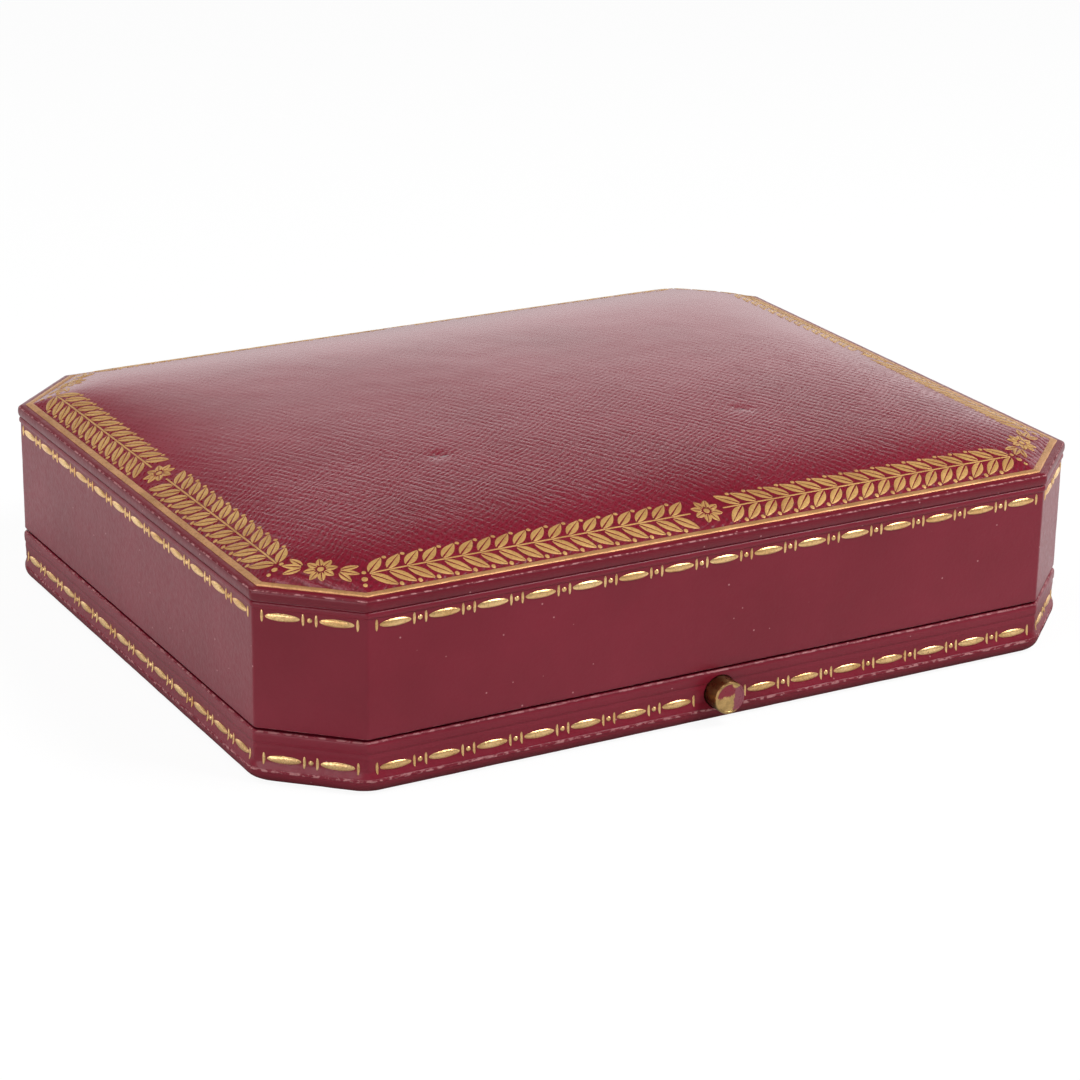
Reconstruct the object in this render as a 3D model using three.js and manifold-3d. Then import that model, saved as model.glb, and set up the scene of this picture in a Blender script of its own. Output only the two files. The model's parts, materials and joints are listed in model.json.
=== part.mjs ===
// A leather-covered jewelry case: a low moulded base, a hinged lid with a padded top, and a
// push-button catch. Millimetres, +Z up. The origin is the centre of the underside, +X runs along
// the front to the right and +Y to the back, where the two hinges are.
import * as THREE from "three";
import { mergeVertices } from "three/addons/utils/BufferGeometryUtils.js";
import Module from "manifold-3d";

const wasm = await Module();
wasm.setup();

// Outline of the lid's walls seen from above, with its four corners cut off
const LENGTH = 150;
const WIDTH = 120.4;
const CORNER_X = 13.1;
const CORNER_Y = 12.2;
const EDGE_RADIUS = 0.7;

// Layers of a covered wall, from the outside in
const LEATHER = 0.6;
const GLUE = 0.2;
const LID_BOARD = 3.4;
const LINING = 0.6;
const COLLAR_CLEARANCE = 0.4;
const COLLAR = 1.5;
const MITRE_GAP = 0.3;

// Base, from the surface up
const FOOT_RISE = 0.1;
const COVER = 0.8;
const BASE_BOARD = 2.4;
const BASE_RIM = 8.55;
const BASE_FLARE = 0.6;
const BASE_TURN_UNDER = 1.8;
const BASE_TURN_IN = 4.4;
const COLLAR_RISE = 5;
const JOINT_GAP = 0.3;

// Velvet pad in the base
const PAD_BOARD = 1.2;
const PAD_CLEARANCE = 0.3;
const PAD_SIDE = 1.9;
const PAD_CROWN = 1.5;
const PAD_CHANNEL = 1.1;
const PAD_CHANNEL_PLACE = 17;
const PAD_CHANNEL_WIDTH = 3.4;

// Lid, from its lower edge up
const SOFT_EDGE = 0.25;
const LID_TURN_IN = 3.4;
const GROOVE = 20.5;
const GROOVE_DEPTH = 0.1;
const BEAD = 1;
const BEAD_OUT = 0.25;
const LIP = 1.95;
const LIP_OUT = 0.4;
const LIP_TURN = 0.8;
const FILLET_INSET = 1.65;
const TOP_BOARD = 3.2;

// Padded top
const DOME_SHOULDER = 3.9;
const DOME_CROWN = 1.2;
const DOME_REACH = 6.3;
const DOME_PAD_INSET = 1.5;

// Padded satin inside the lid
const CUSHION_CARD = 0.8;
const CUSHION_SIDE = 1.8;
const CUSHION_CROWN = 1.3;

// Both cushions
const CUSHION_ROUND = 1;
const CUSHION_REACH = 9;
const CUSHION_DRAW = 0.6;

// Push button and its bush
const BUTTON_RADIUS = 2.7;
const BUTTON_PROUD = 3.3;
const BUTTON_SUNK = 0.6;
const BUTTON_BEVEL = 0.2;
const BUTTON_TRAVEL = 1.4;
const BUTTON_CLEARANCE = 0.15;
const BUTTON_SPARE = 0.3;
const STEM_RADIUS = 1.2;
const STEM_CLEARANCE = 0.06;
const BUSH_WALL = 0.6;
const BUSH_FLANGE = 0.6;
const BUSH_FLANGE_RADIUS = 2.5;
const BUSH_CLEARANCE = 0.1;
const WASHER = 0.7;
const WASHER_RADIUS = 2.8;

// Spring catch and the keeper in the lid
const CATCH_WIDTH = 8;
const CATCH_THICKNESS = 0.4;
const CATCH_GAP = 0.3;
const CATCH_FOOT = 8.6;
const CATCH_WINDOW = 13;
const NOSE_WIDTH = 6.4;
const NOSE_REACH = 2.6;
const NOSE_BOTTOM = 12.7;
const NOSE_HEIGHT = 2.2;
const KEEPER_WIDTH = 12.4;
const KEEPER_BAR = 2.1;
const KEEPER_PLAY = 0.4;
const NOSE_POCKET = 1.6;

// Butt hinges
const HINGE_SETBACK = 23.9;
const HINGE_LENGTH = 22;
const HINGE_MIDDLE = 8.5;
const KNUCKLE_RADIUS = 1.3;
const KNUCKLE_GAP = 0.25;
const HINGE_OFF_WALL = 0.6;
const LEAF = 0.7;
const PIN_RADIUS = 0.55;
const PIN_CLEARANCE = 0.07;

// Screws
const HEAD_RADIUS = 0.9;
const HEAD_HEIGHT = 0.35;
const SHANK_RADIUS = 0.45;
const SHANK_LENGTH = 1.8;
const SCREW_CLEARANCE = 0.15;
const SLOT_WIDTH = 0.25;
const SLOT_DEPTH = 0.18;
const HEAD_SEAT = 0.05;
const HINGE_SCREW_PLACE = 6.6;
const CATCH_SCREW_PLACE = 2.2;

// Steps and tolerances
const ARC_STEPS = 2;
const ROUND = 24;
const SMALL_ROUND = 12;
const OVERRUN = 1;
const LEAST_RADIUS = 0.15;
const LEAST_DISTANCE = 0.001;
const MERGE = 0.0001;
const EDGE_SHARPNESS = 4;
const QUARTER = Math.PI / 2;

// Sizes that follow from the ones above
const halfLength = LENGTH / 2;
const halfWidth = WIDTH / 2;
const boardFace = LEATHER + GLUE;
const lidBoardInside = boardFace + LID_BOARD;
const liningFace = lidBoardInside + GLUE;
const liningInside = liningFace + LINING;
const collarFace = liningInside + COLLAR_CLEARANCE;
const collarInside = collarFace + COLLAR;
const railInside = collarFace - GLUE;
const baseBoardTop = COVER + GLUE + BASE_BOARD;
const seatTop = baseBoardTop + GLUE;
const lidBottom = BASE_RIM + JOINT_GAP;
const joint = BASE_RIM + JOINT_GAP / 2;
const collarTop = joint + COLLAR_RISE;
const padInset = collarInside + PAD_CLEARANCE;
const padBottom = seatTop + PAD_BOARD + GLUE;
const lipBottom = GROOVE + GLUE;
const lidEdge = lipBottom + LIP;
const topBoardTop = lidEdge - LEATHER - GLUE;
const topBoardBottom = topBoardTop - TOP_BOARD;
const lidBoardTop = topBoardBottom - GLUE;
const cushionInset = liningInside + GLUE;
const cushionTop = lidBoardTop - CUSHION_CARD - GLUE;
const counterbore = BUTTON_SUNK + BUTTON_TRAVEL + BUTTON_SPARE + BUSH_FLANGE;
const washerFace = collarFace;
const catchFace = washerFace + WASHER + CATCH_GAP;
const catchInside = catchFace + CATCH_THICKNESS;
const hingeY = halfWidth + HINGE_OFF_WALL + KNUCKLE_RADIUS;
const leafReach = hingeY - (halfWidth - lidBoardInside);
const leafScrewY = -(leafReach + KNUCKLE_RADIUS + KNUCKLE_GAP) / 2;
const boreRadius = STEM_RADIUS + STEM_CLEARANCE;
const bushRadius = boreRadius + BUSH_WALL;
const screwHole = SHANK_RADIUS + SCREW_CLEARANCE;

// Outward points of the base's face, as shares of its flare and of its height
const baseFaceShares = [
  [-1, 0],
  [-0.25, 0.01],
  [0.5, 0.05],
  [0.9, 0.12],
  [1, 0.21],
  [0.88, 0.29],
  [0.45, 0.36],
  [0.1, 0.42],
  [0, 0.5],
  [0.05, 0.6],
  [0.15, 0.68],
  [0.1, 0.755],
  [0.3, 0.8],
  [0.35, 0.9],
  [0.2, 0.96],
  [-0.3, 1],
];
// Points of the lid's bead and of its lip, as shares of how far they stand out and of their height
const beadShares = [
  [0.75, 0.2],
  [1, 0.5],
  [0.6, 0.85],
];
const lipShares = [
  [0, 0],
  [0.6, 0.06],
  [0.95, 0.3],
  [1, 0.5],
  [0.8, 0.73],
  [0.2, 0.9],
  [-0.6, 0.985],
];
// Rings of the padded top: insets as shares of its reach, then scales towards the centre
const domeInsetShares = [0, 0.13, 0.3, 0.52, 0.85, 1.3, 2, 2.9];
const ringScaleShares = [0.7, 0.42, 0.18];
// Rings of a cushion: insets and heights of its rounded side, as shares of its rounding and side
const cushionSideShares = [
  [1, 0],
  [0.2, 0.15],
  [0, 0.5],
  [0.2, 0.8],
  [0.6, 0.97],
];
// Extra points that let a cushion's long and short sides draw in
const longSideSteps = 6;
const cornerSideSteps = 2;
// Place of the screws along the foot of the catch
const catchScrewShare = 0.62;
// Height of the button up the base's face
const buttonHeightShare = 0.567;
const buttonHeight = FOOT_RISE + buttonHeightShare * (BASE_RIM - FOOT_RISE);

// The outline's eight sides, anticlockwise from the right: outward angle and distance from the centre
const cornerAngle = Math.atan2(CORNER_X, CORNER_Y);
const cornerDistance =
  halfLength * Math.cos(cornerAngle) + (halfWidth - CORNER_Y) * Math.sin(cornerAngle);
const sides = [
  { name: "right", angle: 0, distance: halfLength },
  { name: "back_right", angle: cornerAngle, distance: cornerDistance },
  { name: "back", angle: QUARTER, distance: halfWidth },
  { name: "back_left", angle: 2 * QUARTER - cornerAngle, distance: cornerDistance },
  { name: "left", angle: 2 * QUARTER, distance: halfLength },
  { name: "front_left", angle: 2 * QUARTER + cornerAngle, distance: cornerDistance },
  { name: "front", angle: 3 * QUARTER, distance: halfWidth },
  { name: "front_right", angle: 4 * QUARTER - cornerAngle, distance: cornerDistance },
];

function nextSide(k) {
  return sides[(k + 1) % sides.length];
}

function turnAfter(k) {
  const turn = nextSide(k).angle - sides[k].angle;
  return turn < 0 ? turn + 4 * QUARTER : turn;
}

// Where side k meets the next one, with both moved outwards by an offset
function cornerPoint(k, offset) {
  const a = sides[k];
  const b = nextSide(k);
  const p = a.distance + offset;
  const q = b.distance + offset;
  const cross = Math.sin(b.angle - a.angle);
  const x = (p * Math.sin(b.angle) - q * Math.sin(a.angle)) / cross;
  const y = (q * Math.cos(a.angle) - p * Math.cos(b.angle)) / cross;
  return new THREE.Vector2(x, y);
}

// The outline moved outwards by an offset, with rounded corners
function outline(offset) {
  const radius = Math.max(EDGE_RADIUS + offset, LEAST_RADIUS);
  const points = [];
  sides.forEach((side, k) => {
    const centre = cornerPoint(k, offset - radius);
    for (let i = 0; i <= ARC_STEPS; i++) {
      const angle = side.angle + (turnAfter(k) * i) / ARC_STEPS;
      const arm = new THREE.Vector2(Math.cos(angle), Math.sin(angle));
      points.push(centre.clone().addScaledVector(arm, radius));
    }
  });
  return points;
}

// The same outline with points added along its sides, which draw in by up to a length
function softOutline(offset, draw) {
  const corners = outline(offset);
  const points = [];
  corners.forEach((point, i) => {
    const next = corners[(i + 1) % corners.length];
    const span = next.clone().sub(point);
    const inward = new THREE.Vector2(-span.y, span.x).normalize();
    points.push(point);
    if (i % (ARC_STEPS + 1) !== ARC_STEPS) return;
    const side = nextSide(Math.floor(i / (ARC_STEPS + 1)));
    const corner = side.distance === cornerDistance;
    const steps = corner ? cornerSideSteps : longSideSteps;
    const depth = corner ? 0 : draw;
    for (let j = 1; j < steps; j++) {
      const along = j / steps;
      const bow = depth * Math.sin(Math.PI * along);
      points.push(point.clone().addScaledVector(span, along).addScaledVector(inward, bow));
    }
  });
  return points;
}

// Soft least distance of a point from the outline's sides moved in by an inset
function edgeDistance(x, y, inset) {
  let sum = 0;
  for (const side of sides) {
    const reach = x * Math.cos(side.angle) + y * Math.sin(side.angle);
    const distance = Math.max(side.distance - inset - reach, LEAST_DISTANCE);
    sum += distance ** -EDGE_SHARPNESS;
  }
  return sum ** (-1 / EDGE_SHARPNESS);
}

// Broad crown, from 1 at the centre down to 0 at the walls
function crownShare(x, y) {
  return (1 - (x / halfLength) ** 2) * (1 - (y / halfWidth) ** 2);
}

// Height of the padded top above the edge of the lid
function domeHeight(x, y) {
  const rise = 1 - Math.exp(-edgeDistance(x, y, FILLET_INSET) / DOME_REACH);
  return rise * (DOME_SHOULDER + DOME_CROWN * crownShare(x, y));
}

// A closed solid from a list of vertices and triangles, turned so that its faces point out
function solidFrom(positions, triangles) {
  const corner = (i) => new THREE.Vector3().fromArray(positions, 3 * i);
  let volume = 0;
  for (let i = 0; i < triangles.length; i += 3) {
    const [a, b, c] = [0, 1, 2].map((j) => corner(triangles[i + j]));
    volume += a.dot(b.cross(c));
  }
  const facing = volume < 0 ? Array.from(triangles).reverse() : triangles;
  const mesh = new wasm.Mesh({
    numProp: 3,
    vertProperties: new Float32Array(positions),
    triVerts: new Uint32Array(facing),
  });
  return new wasm.Manifold(mesh);
}

function solidOf(geometry) {
  geometry.deleteAttribute("normal");
  geometry.deleteAttribute("uv");
  const merged = mergeVertices(geometry, MERGE);
  return solidFrom(merged.attributes.position.array, merged.index.array);
}

function geometryOf(solid) {
  const { vertProperties, triVerts } = solid.getMesh();
  const geometry = new THREE.BufferGeometry();
  geometry.setAttribute("position", new THREE.BufferAttribute(vertProperties, 3));
  geometry.setIndex(new THREE.BufferAttribute(triVerts, 1));
  const flat = geometry.toNonIndexed();
  flat.computeVertexNormals();
  return flat;
}

// Rings of equal count joined in order; a closed loft joins the last to the first, and an open one
// is closed by a fan over each end
function loft(rings, closed) {
  const count = rings[0].length;
  const positions = rings.flat().flatMap((p) => [p.x, p.y, p.z]);
  const triangles = [];
  const last = closed ? rings.length : rings.length - 1;
  for (let r = 0; r < last; r++) {
    const low = r * count;
    const high = ((r + 1) % rings.length) * count;
    for (let i = 0; i < count; i++) {
      const j = (i + 1) % count;
      triangles.push(low + i, low + j, high + j, low + i, high + j, high + i);
    }
  }
  if (closed) return solidFrom(positions, triangles);
  [0, rings.length - 1].forEach((r) => {
    const hub = positions.length / 3;
    const centre = new THREE.Vector3();
    rings[r].forEach((p) => centre.addScaledVector(p, 1 / count));
    positions.push(centre.x, centre.y, centre.z);
    for (let i = 0; i < count; i++) {
      const a = r * count + i;
      const b = r * count + ((i + 1) % count);
      triangles.push(...(r === 0 ? [hub, b, a] : [hub, a, b]));
    }
  });
  return solidFrom(positions, triangles);
}

function level(points, z) {
  return points.map((p) => new THREE.Vector3(p.x, p.y, z));
}

// A band round the outline whose closed section is a list of offsets and heights
function band(section) {
  return loft(
    section.map(([offset, z]) => level(outline(offset), z)),
    true,
  );
}

// A flat board over the whole outline at an inset
function board(inset, bottom, top) {
  return loft([level(outline(-inset), bottom), level(outline(-inset), top)], false);
}

// Rings over the padded top at an inset, each lowered by a drop, from its edge to its centre
function domeRings(edgeInset, drop) {
  const rings = domeInsetShares.map((share) => outline(-edgeInset - share * DOME_REACH));
  const inner = rings[rings.length - 1];
  ringScaleShares.forEach((scale) => rings.push(inner.map((p) => p.clone().multiplyScalar(scale))));
  return rings.map((ring) =>
    ring.map((p) => new THREE.Vector3(p.x, p.y, lidEdge + domeHeight(p.x, p.y) - drop)),
  );
}

// A straight rail along side k with mitred ends, from a convex section of offsets and heights
function rail(k, section) {
  const side = sides[k];
  const along = new THREE.Vector2(-Math.sin(side.angle), Math.cos(side.angle));
  const before = (k + sides.length - 1) % sides.length;
  const positions = [];
  [
    [before, MITRE_GAP / 2],
    [k, -MITRE_GAP / 2],
  ].forEach(([corner, shift]) => {
    section.forEach(([offset, z]) => {
      const p = cornerPoint(corner, offset).addScaledVector(along, shift);
      positions.push(p.x, p.y, z);
    });
  });
  const count = section.length;
  const triangles = [];
  for (let i = 0; i < count; i++) {
    const j = (i + 1) % count;
    triangles.push(i, count + i, count + j, i, count + j, j);
  }
  for (let i = 1; i < count - 1; i++) {
    triangles.push(0, i, i + 1);
    triangles.push(count, count + i + 1, count + i);
  }
  return solidFrom(positions, triangles);
}

// A crowned cushion at an inset: a flat back at one height, and a rounded side and crown beyond it
function cushion(inset, back, direction, side, heightOver) {
  const rings = cushionSideShares.map(([insetShare, heightShare]) => {
    const ring = softOutline(-inset - insetShare * CUSHION_ROUND, CUSHION_DRAW);
    return level(ring, back + direction * heightShare * side);
  });
  const insets = domeInsetShares.map((share) => CUSHION_ROUND + share * CUSHION_REACH);
  const crown = insets.map((more) => softOutline(-inset - more, CUSHION_DRAW));
  const inner = crown[crown.length - 1];
  ringScaleShares.forEach((scale) => crown.push(inner.map((p) => p.clone().multiplyScalar(scale))));
  crown.forEach((ring) => {
    const raised = ring.map((p) => {
      const height = side + heightOver(p.x, p.y);
      return new THREE.Vector3(p.x, p.y, back + direction * height);
    });
    rings.push(raised);
  });
  return loft(rings, false);
}

function cushionRise(x, y, inset) {
  return 1 - Math.exp(-edgeDistance(x, y, inset) / CUSHION_REACH);
}

// A block between two opposite corners
function block(low, high) {
  const size = high.map((value, i) => value - low[i]);
  const geometry = new THREE.BoxGeometry(...size);
  geometry.translate(...low.map((value, i) => value + size[i] / 2));
  return solidOf(geometry);
}

// A cylinder along the X, Y or Z axis, through a point, that runs a length before and after it
function rod(axis, radius, point, before, after, segments = ROUND) {
  const geometry = new THREE.CylinderGeometry(radius, radius, before + after, segments);
  geometry.translate(0, (after - before) / 2, 0);
  if (axis === "x") geometry.rotateZ(-QUARTER);
  if (axis === "z") geometry.rotateX(QUARTER);
  geometry.translate(...point);
  return solidOf(geometry);
}

// A turned piece about the Y axis, from points of radius and place along the axis
function turned(points, segments = ROUND) {
  return solidOf(
    new THREE.LatheGeometry(
      points.map(([radius, place]) => new THREE.Vector2(radius, place)),
      segments,
    ),
  );
}

const looks = {
  leather: { color: 0x7a2d3c, roughness: 0.45, metalness: 0 },
  leathercloth: { color: 0x4a1c26, roughness: 0.8, metalness: 0 },
  board: { color: 0xb99a6b, roughness: 0.8, metalness: 0 },
  card: { color: 0xcfc7b4, roughness: 0.9, metalness: 0 },
  wadding: { color: 0xe8e2d4, roughness: 0.95, metalness: 0 },
  velvet: { color: 0x1c1a1d, roughness: 1, metalness: 0 },
  satin: { color: 0xe9dfcb, roughness: 0.4, metalness: 0 },
  brass: { color: 0xb08d57, roughness: 0.25, metalness: 1 },
  steel: { color: 0x8a8d91, roughness: 0.3, metalness: 1 },
};

const caseGroup = new THREE.Group();
caseGroup.name = "jewelry_case";
const lidGroup = new THREE.Group();
lidGroup.position.z = lidBottom;
caseGroup.add(lidGroup);

function addMesh(parent, name, solid, look) {
  const mesh = new THREE.Mesh(geometryOf(solid), new THREE.MeshStandardMaterial(looks[look]));
  mesh.name = name;
  parent.add(mesh);
  return mesh;
}

// Base shell
function baseLeather() {
  const face = baseFaceShares.map(([out, up]) => [
    out * BASE_FLARE,
    FOOT_RISE + up * (BASE_RIM - FOOT_RISE),
  ]);
  let skin = band([
    [-BASE_TURN_UNDER, FOOT_RISE],
    ...face,
    [-BASE_TURN_IN, BASE_RIM],
    [-BASE_TURN_IN, BASE_RIM - LEATHER],
    [-LEATHER, BASE_RIM - LEATHER],
    [-LEATHER, FOOT_RISE + LEATHER],
    [-BASE_TURN_UNDER, FOOT_RISE + LEATHER],
  ]);
  skin = skin.subtract(buttonRecess());
  hingePlaces().forEach((x) => {
    skin = skin.subtract(leafNotch(x, BASE_RIM - LEAF - GLUE, BASE_RIM + OVERRUN));
  });
  return skin;
}

function buttonRecess() {
  const place = [0, -halfWidth, buttonHeight];
  return rod("y", BUTTON_RADIUS + BUTTON_CLEARANCE, place, BASE_FLARE + OVERRUN, counterbore);
}

function baseRail(k) {
  let shape = rail(k, [
    [-railInside, FOOT_RISE + boardFace],
    [-boardFace, FOOT_RISE + boardFace],
    [-boardFace, BASE_RIM - boardFace],
    [-railInside, BASE_RIM - boardFace],
  ]);
  if (sides[k].name === "front") {
    const place = [0, -halfWidth, buttonHeight];
    shape = shape.subtract(buttonRecess());
    shape = shape.subtract(rod("y", bushRadius + BUSH_CLEARANCE, place, 0, collarInside));
  }
  if (sides[k].name === "back") {
    leafScrewPlaces().forEach(([x, y]) => {
      const place = [x, y, BASE_RIM - LEAF];
      const depth = SHANK_LENGTH + SCREW_CLEARANCE;
      shape = shape.subtract(rod("z", screwHole, place, depth, OVERRUN, SMALL_ROUND));
    });
  }
  return shape;
}

// Room in the base's inner boards for the catch, its foot and the washer, from the front to a depth
function catchRoom(width, depth, bottom, top) {
  const front = -halfWidth + collarFace - OVERRUN;
  return block([-width / 2, front, bottom], [width / 2, -halfWidth + depth, top]);
}

function baseBoard() {
  const washerRoom = WASHER_RADIUS + BUTTON_CLEARANCE;
  const depth = catchFace + BUTTON_TRAVEL;
  const top = baseBoardTop + OVERRUN;
  let shape = board(collarFace, COVER + GLUE, baseBoardTop);
  shape = shape.subtract(catchRoom(2 * washerRoom, depth, buttonHeight - washerRoom, top));
  [-CATCH_SCREW_PLACE, CATCH_SCREW_PLACE].forEach((x) => {
    const place = [x, catchScrewY(), baseBoardTop];
    shape = shape.subtract(rod("z", screwHole, place, SHANK_LENGTH, OVERRUN, SMALL_ROUND));
  });
  return shape;
}

function baseCollar() {
  const section = [
    [-collarFace, seatTop],
    [-collarFace, collarTop],
    [-collarInside, collarTop],
    [-collarInside, seatTop],
  ];
  const room = catchRoom(CATCH_WINDOW, padInset, seatTop - OVERRUN, collarTop + OVERRUN);
  return band(section).subtract(room);
}

function padBoard() {
  const depth = catchFace + CATCH_FOOT + PAD_CLEARANCE;
  const room = catchRoom(CATCH_WINDOW, depth, seatTop - OVERRUN, padBottom);
  return board(padInset, seatTop, seatTop + PAD_BOARD).subtract(room);
}

function jewelPad() {
  const heightOver = (x, y) => {
    const distance = edgeDistance(x, y, padInset);
    const groove = Math.exp(-(((distance - PAD_CHANNEL_PLACE) / PAD_CHANNEL_WIDTH) ** 2));
    return PAD_CROWN * cushionRise(x, y, padInset) - PAD_CHANNEL * groove;
  };
  const depth = catchInside + BUTTON_TRAVEL + CATCH_GAP;
  const room = catchRoom(CATCH_WINDOW, depth, padBottom - OVERRUN, collarTop);
  return cushion(padInset, padBottom, 1, PAD_SIDE, heightOver).subtract(room);
}

function addBase() {
  const inset = BASE_TURN_UNDER + GLUE;
  addMesh(caseGroup, "base_underside_cover", board(inset, 0, COVER), "leathercloth");
  addMesh(caseGroup, "base_leather", baseLeather(), "leather");
  sides.forEach((side, k) => addMesh(caseGroup, "base_rail_" + side.name, baseRail(k), "board"));
  addMesh(caseGroup, "base_board", baseBoard(), "board");
  addMesh(caseGroup, "base_collar", baseCollar(), "velvet");
  addMesh(caseGroup, "pad_board", padBoard(), "card");
  addMesh(caseGroup, "jewel_pad", jewelPad(), "velvet");
}

// Push button, along +Y from its face at the front
function addButton() {
  const place = [0, -halfWidth, buttonHeight];
  const stemEnd = washerFace + WASHER;
  const button = turned([
    [0, -BUTTON_PROUD],
    [BUTTON_RADIUS - BUTTON_BEVEL, -BUTTON_PROUD],
    [BUTTON_RADIUS, BUTTON_BEVEL - BUTTON_PROUD],
    [BUTTON_RADIUS, BUTTON_SUNK],
    [STEM_RADIUS, BUTTON_SUNK],
    [STEM_RADIUS, stemEnd],
    [0, stemEnd],
  ]);
  const bushFace = counterbore - BUSH_FLANGE;
  const bush = turned([
    [boreRadius, bushFace],
    [BUSH_FLANGE_RADIUS, bushFace],
    [BUSH_FLANGE_RADIUS, counterbore - GLUE / 2],
    [bushRadius, counterbore - GLUE / 2],
    [bushRadius, railInside],
    [boreRadius, railInside],
    [boreRadius, bushFace],
  ]);
  const washer = turned([
    [boreRadius, washerFace],
    [WASHER_RADIUS, washerFace],
    [WASHER_RADIUS, washerFace + WASHER],
    [boreRadius, washerFace + WASHER],
    [boreRadius, washerFace],
  ]);
  addMesh(caseGroup, "push_button", button, "brass").position.set(...place);
  addMesh(caseGroup, "button_bush", bush, "brass").position.set(...place);
  addMesh(caseGroup, "button_washer", washer, "steel").position.set(...place);
}

// Spring catch: a foot on the base board, an upright leaf, and a nose that points to the front
function catchScrewY() {
  return -halfWidth + catchInside + CATCH_FOOT * catchScrewShare;
}

function catchSpring() {
  const drawn = (points) => new THREE.Shape(points.map(([y, z]) => new THREE.Vector2(y, z)));
  const face = -halfWidth + catchFace;
  const back = face + CATCH_THICKNESS;
  const noseTop = NOSE_BOTTOM + NOSE_HEIGHT;
  const leaf = drawn([
    [face, seatTop],
    [face + CATCH_FOOT, seatTop],
    [face + CATCH_FOOT, seatTop + CATCH_THICKNESS],
    [back, seatTop + CATCH_THICKNESS],
    [back, noseTop],
    [face, noseTop],
  ]);
  const nose = drawn([
    [back, NOSE_BOTTOM],
    [back, noseTop],
    [face, noseTop],
    [face - NOSE_REACH, NOSE_BOTTOM + CATCH_THICKNESS],
    [face - NOSE_REACH, NOSE_BOTTOM],
  ]);
  let shape = across(leaf, CATCH_WIDTH).add(across(nose, NOSE_WIDTH));
  [-CATCH_SCREW_PLACE, CATCH_SCREW_PLACE].forEach((x) => {
    const place = [x, catchScrewY(), seatTop];
    shape = shape.subtract(rod("z", screwHole, place, OVERRUN, OVERRUN, SMALL_ROUND));
  });
  return shape;
}

// A shape drawn in Y and Z, extruded to both sides of X = 0
function across(shape, width) {
  const geometry = new THREE.ExtrudeGeometry(shape, { depth: width, bevelEnabled: false });
  geometry.translate(0, 0, -width / 2);
  const turn = new THREE.Matrix4().makeBasis(
    new THREE.Vector3(0, 1, 0),
    new THREE.Vector3(0, 0, 1),
    new THREE.Vector3(1, 0, 0),
  );
  return solidOf(geometry.applyMatrix4(turn));
}

// Slotted screw along +Y from the tip of its shank to the top of its head, with the underside of
// the head at the origin
function screw() {
  const body = turned(
    [
      [0, -SHANK_LENGTH],
      [SHANK_RADIUS, -SHANK_LENGTH],
      [SHANK_RADIUS, 0],
      [HEAD_RADIUS, 0],
      [HEAD_RADIUS, HEAD_HEIGHT],
      [0, HEAD_HEIGHT],
    ],
    SMALL_ROUND,
  );
  const reach = HEAD_RADIUS + OVERRUN;
  const low = [-reach, HEAD_HEIGHT - SLOT_DEPTH, -SLOT_WIDTH / 2];
  return body.subtract(block(low, [reach, HEAD_HEIGHT + OVERRUN, SLOT_WIDTH / 2]));
}

function addScrew(parent, name, place, turn, look) {
  const mesh = addMesh(parent, name, screw(), look);
  mesh.position.set(...place);
  mesh.rotation.x = turn;
}

function addCatch() {
  addMesh(caseGroup, "catch_spring", catchSpring(), "steel");
  ["left", "right"].forEach((hand, i) => {
    const x = (2 * i - 1) * CATCH_SCREW_PLACE;
    const place = [x, catchScrewY(), seatTop + CATCH_THICKNESS];
    addScrew(caseGroup, "catch_screw_" + hand, place, QUARTER, "steel");
  });
}

// Hinges
function hingePlaces() {
  const place = halfLength - CORNER_X - HINGE_SETBACK;
  return [-place, place];
}

function leafScrewPlaces() {
  return hingePlaces().flatMap((x) =>
    [-HINGE_SCREW_PLACE, HINGE_SCREW_PLACE].map((dx) => [x + dx, hingeY + leafScrewY]),
  );
}

// Room for a leaf in the leather's turned edge
function leafNotch(x, bottom, top) {
  const half = HINGE_LENGTH / 2 + GLUE;
  return block([x - half, hingeY - leafReach - GLUE, bottom], [x + half, hingeY, top]);
}

// One leaf with its knuckles, about the pin's axis; direction is -1 for the base's leaf, 1 for the lid's
function hingeLeaf(direction, knuckles) {
  const near = (direction * JOINT_GAP) / 2;
  const far = near + direction * LEAF;
  const bottom = Math.min(near, far);
  const top = Math.max(near, far);
  const half = HINGE_LENGTH / 2;
  const edge = -KNUCKLE_RADIUS - KNUCKLE_GAP;
  let shape = block([-half, -leafReach, bottom], [half, edge, top]);
  knuckles.forEach(([start, end]) => {
    const middle = [(start + end) / 2, 0, 0];
    const reach = (end - start) / 2;
    shape = shape.add(block([start, edge - KNUCKLE_GAP, bottom], [end, 0, top]));
    shape = shape.add(rod("x", KNUCKLE_RADIUS, middle, reach, reach));
  });
  shape = shape.subtract(rod("x", PIN_RADIUS + PIN_CLEARANCE, [0, 0, 0], half + OVERRUN, half + OVERRUN));
  [-HINGE_SCREW_PLACE, HINGE_SCREW_PLACE].forEach((x) => {
    const place = [x, leafScrewY, near];
    const sink = HEAD_HEIGHT + HEAD_SEAT;
    const before = direction < 0 ? sink : OVERRUN;
    const after = direction < 0 ? OVERRUN : sink;
    const hole = rod("z", screwHole, place, LEAF + OVERRUN, LEAF + OVERRUN, SMALL_ROUND);
    shape = shape.subtract(hole);
    shape = shape.subtract(rod("z", HEAD_RADIUS + SCREW_CLEARANCE, place, before, after, SMALL_ROUND));
  });
  return shape;
}

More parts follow.
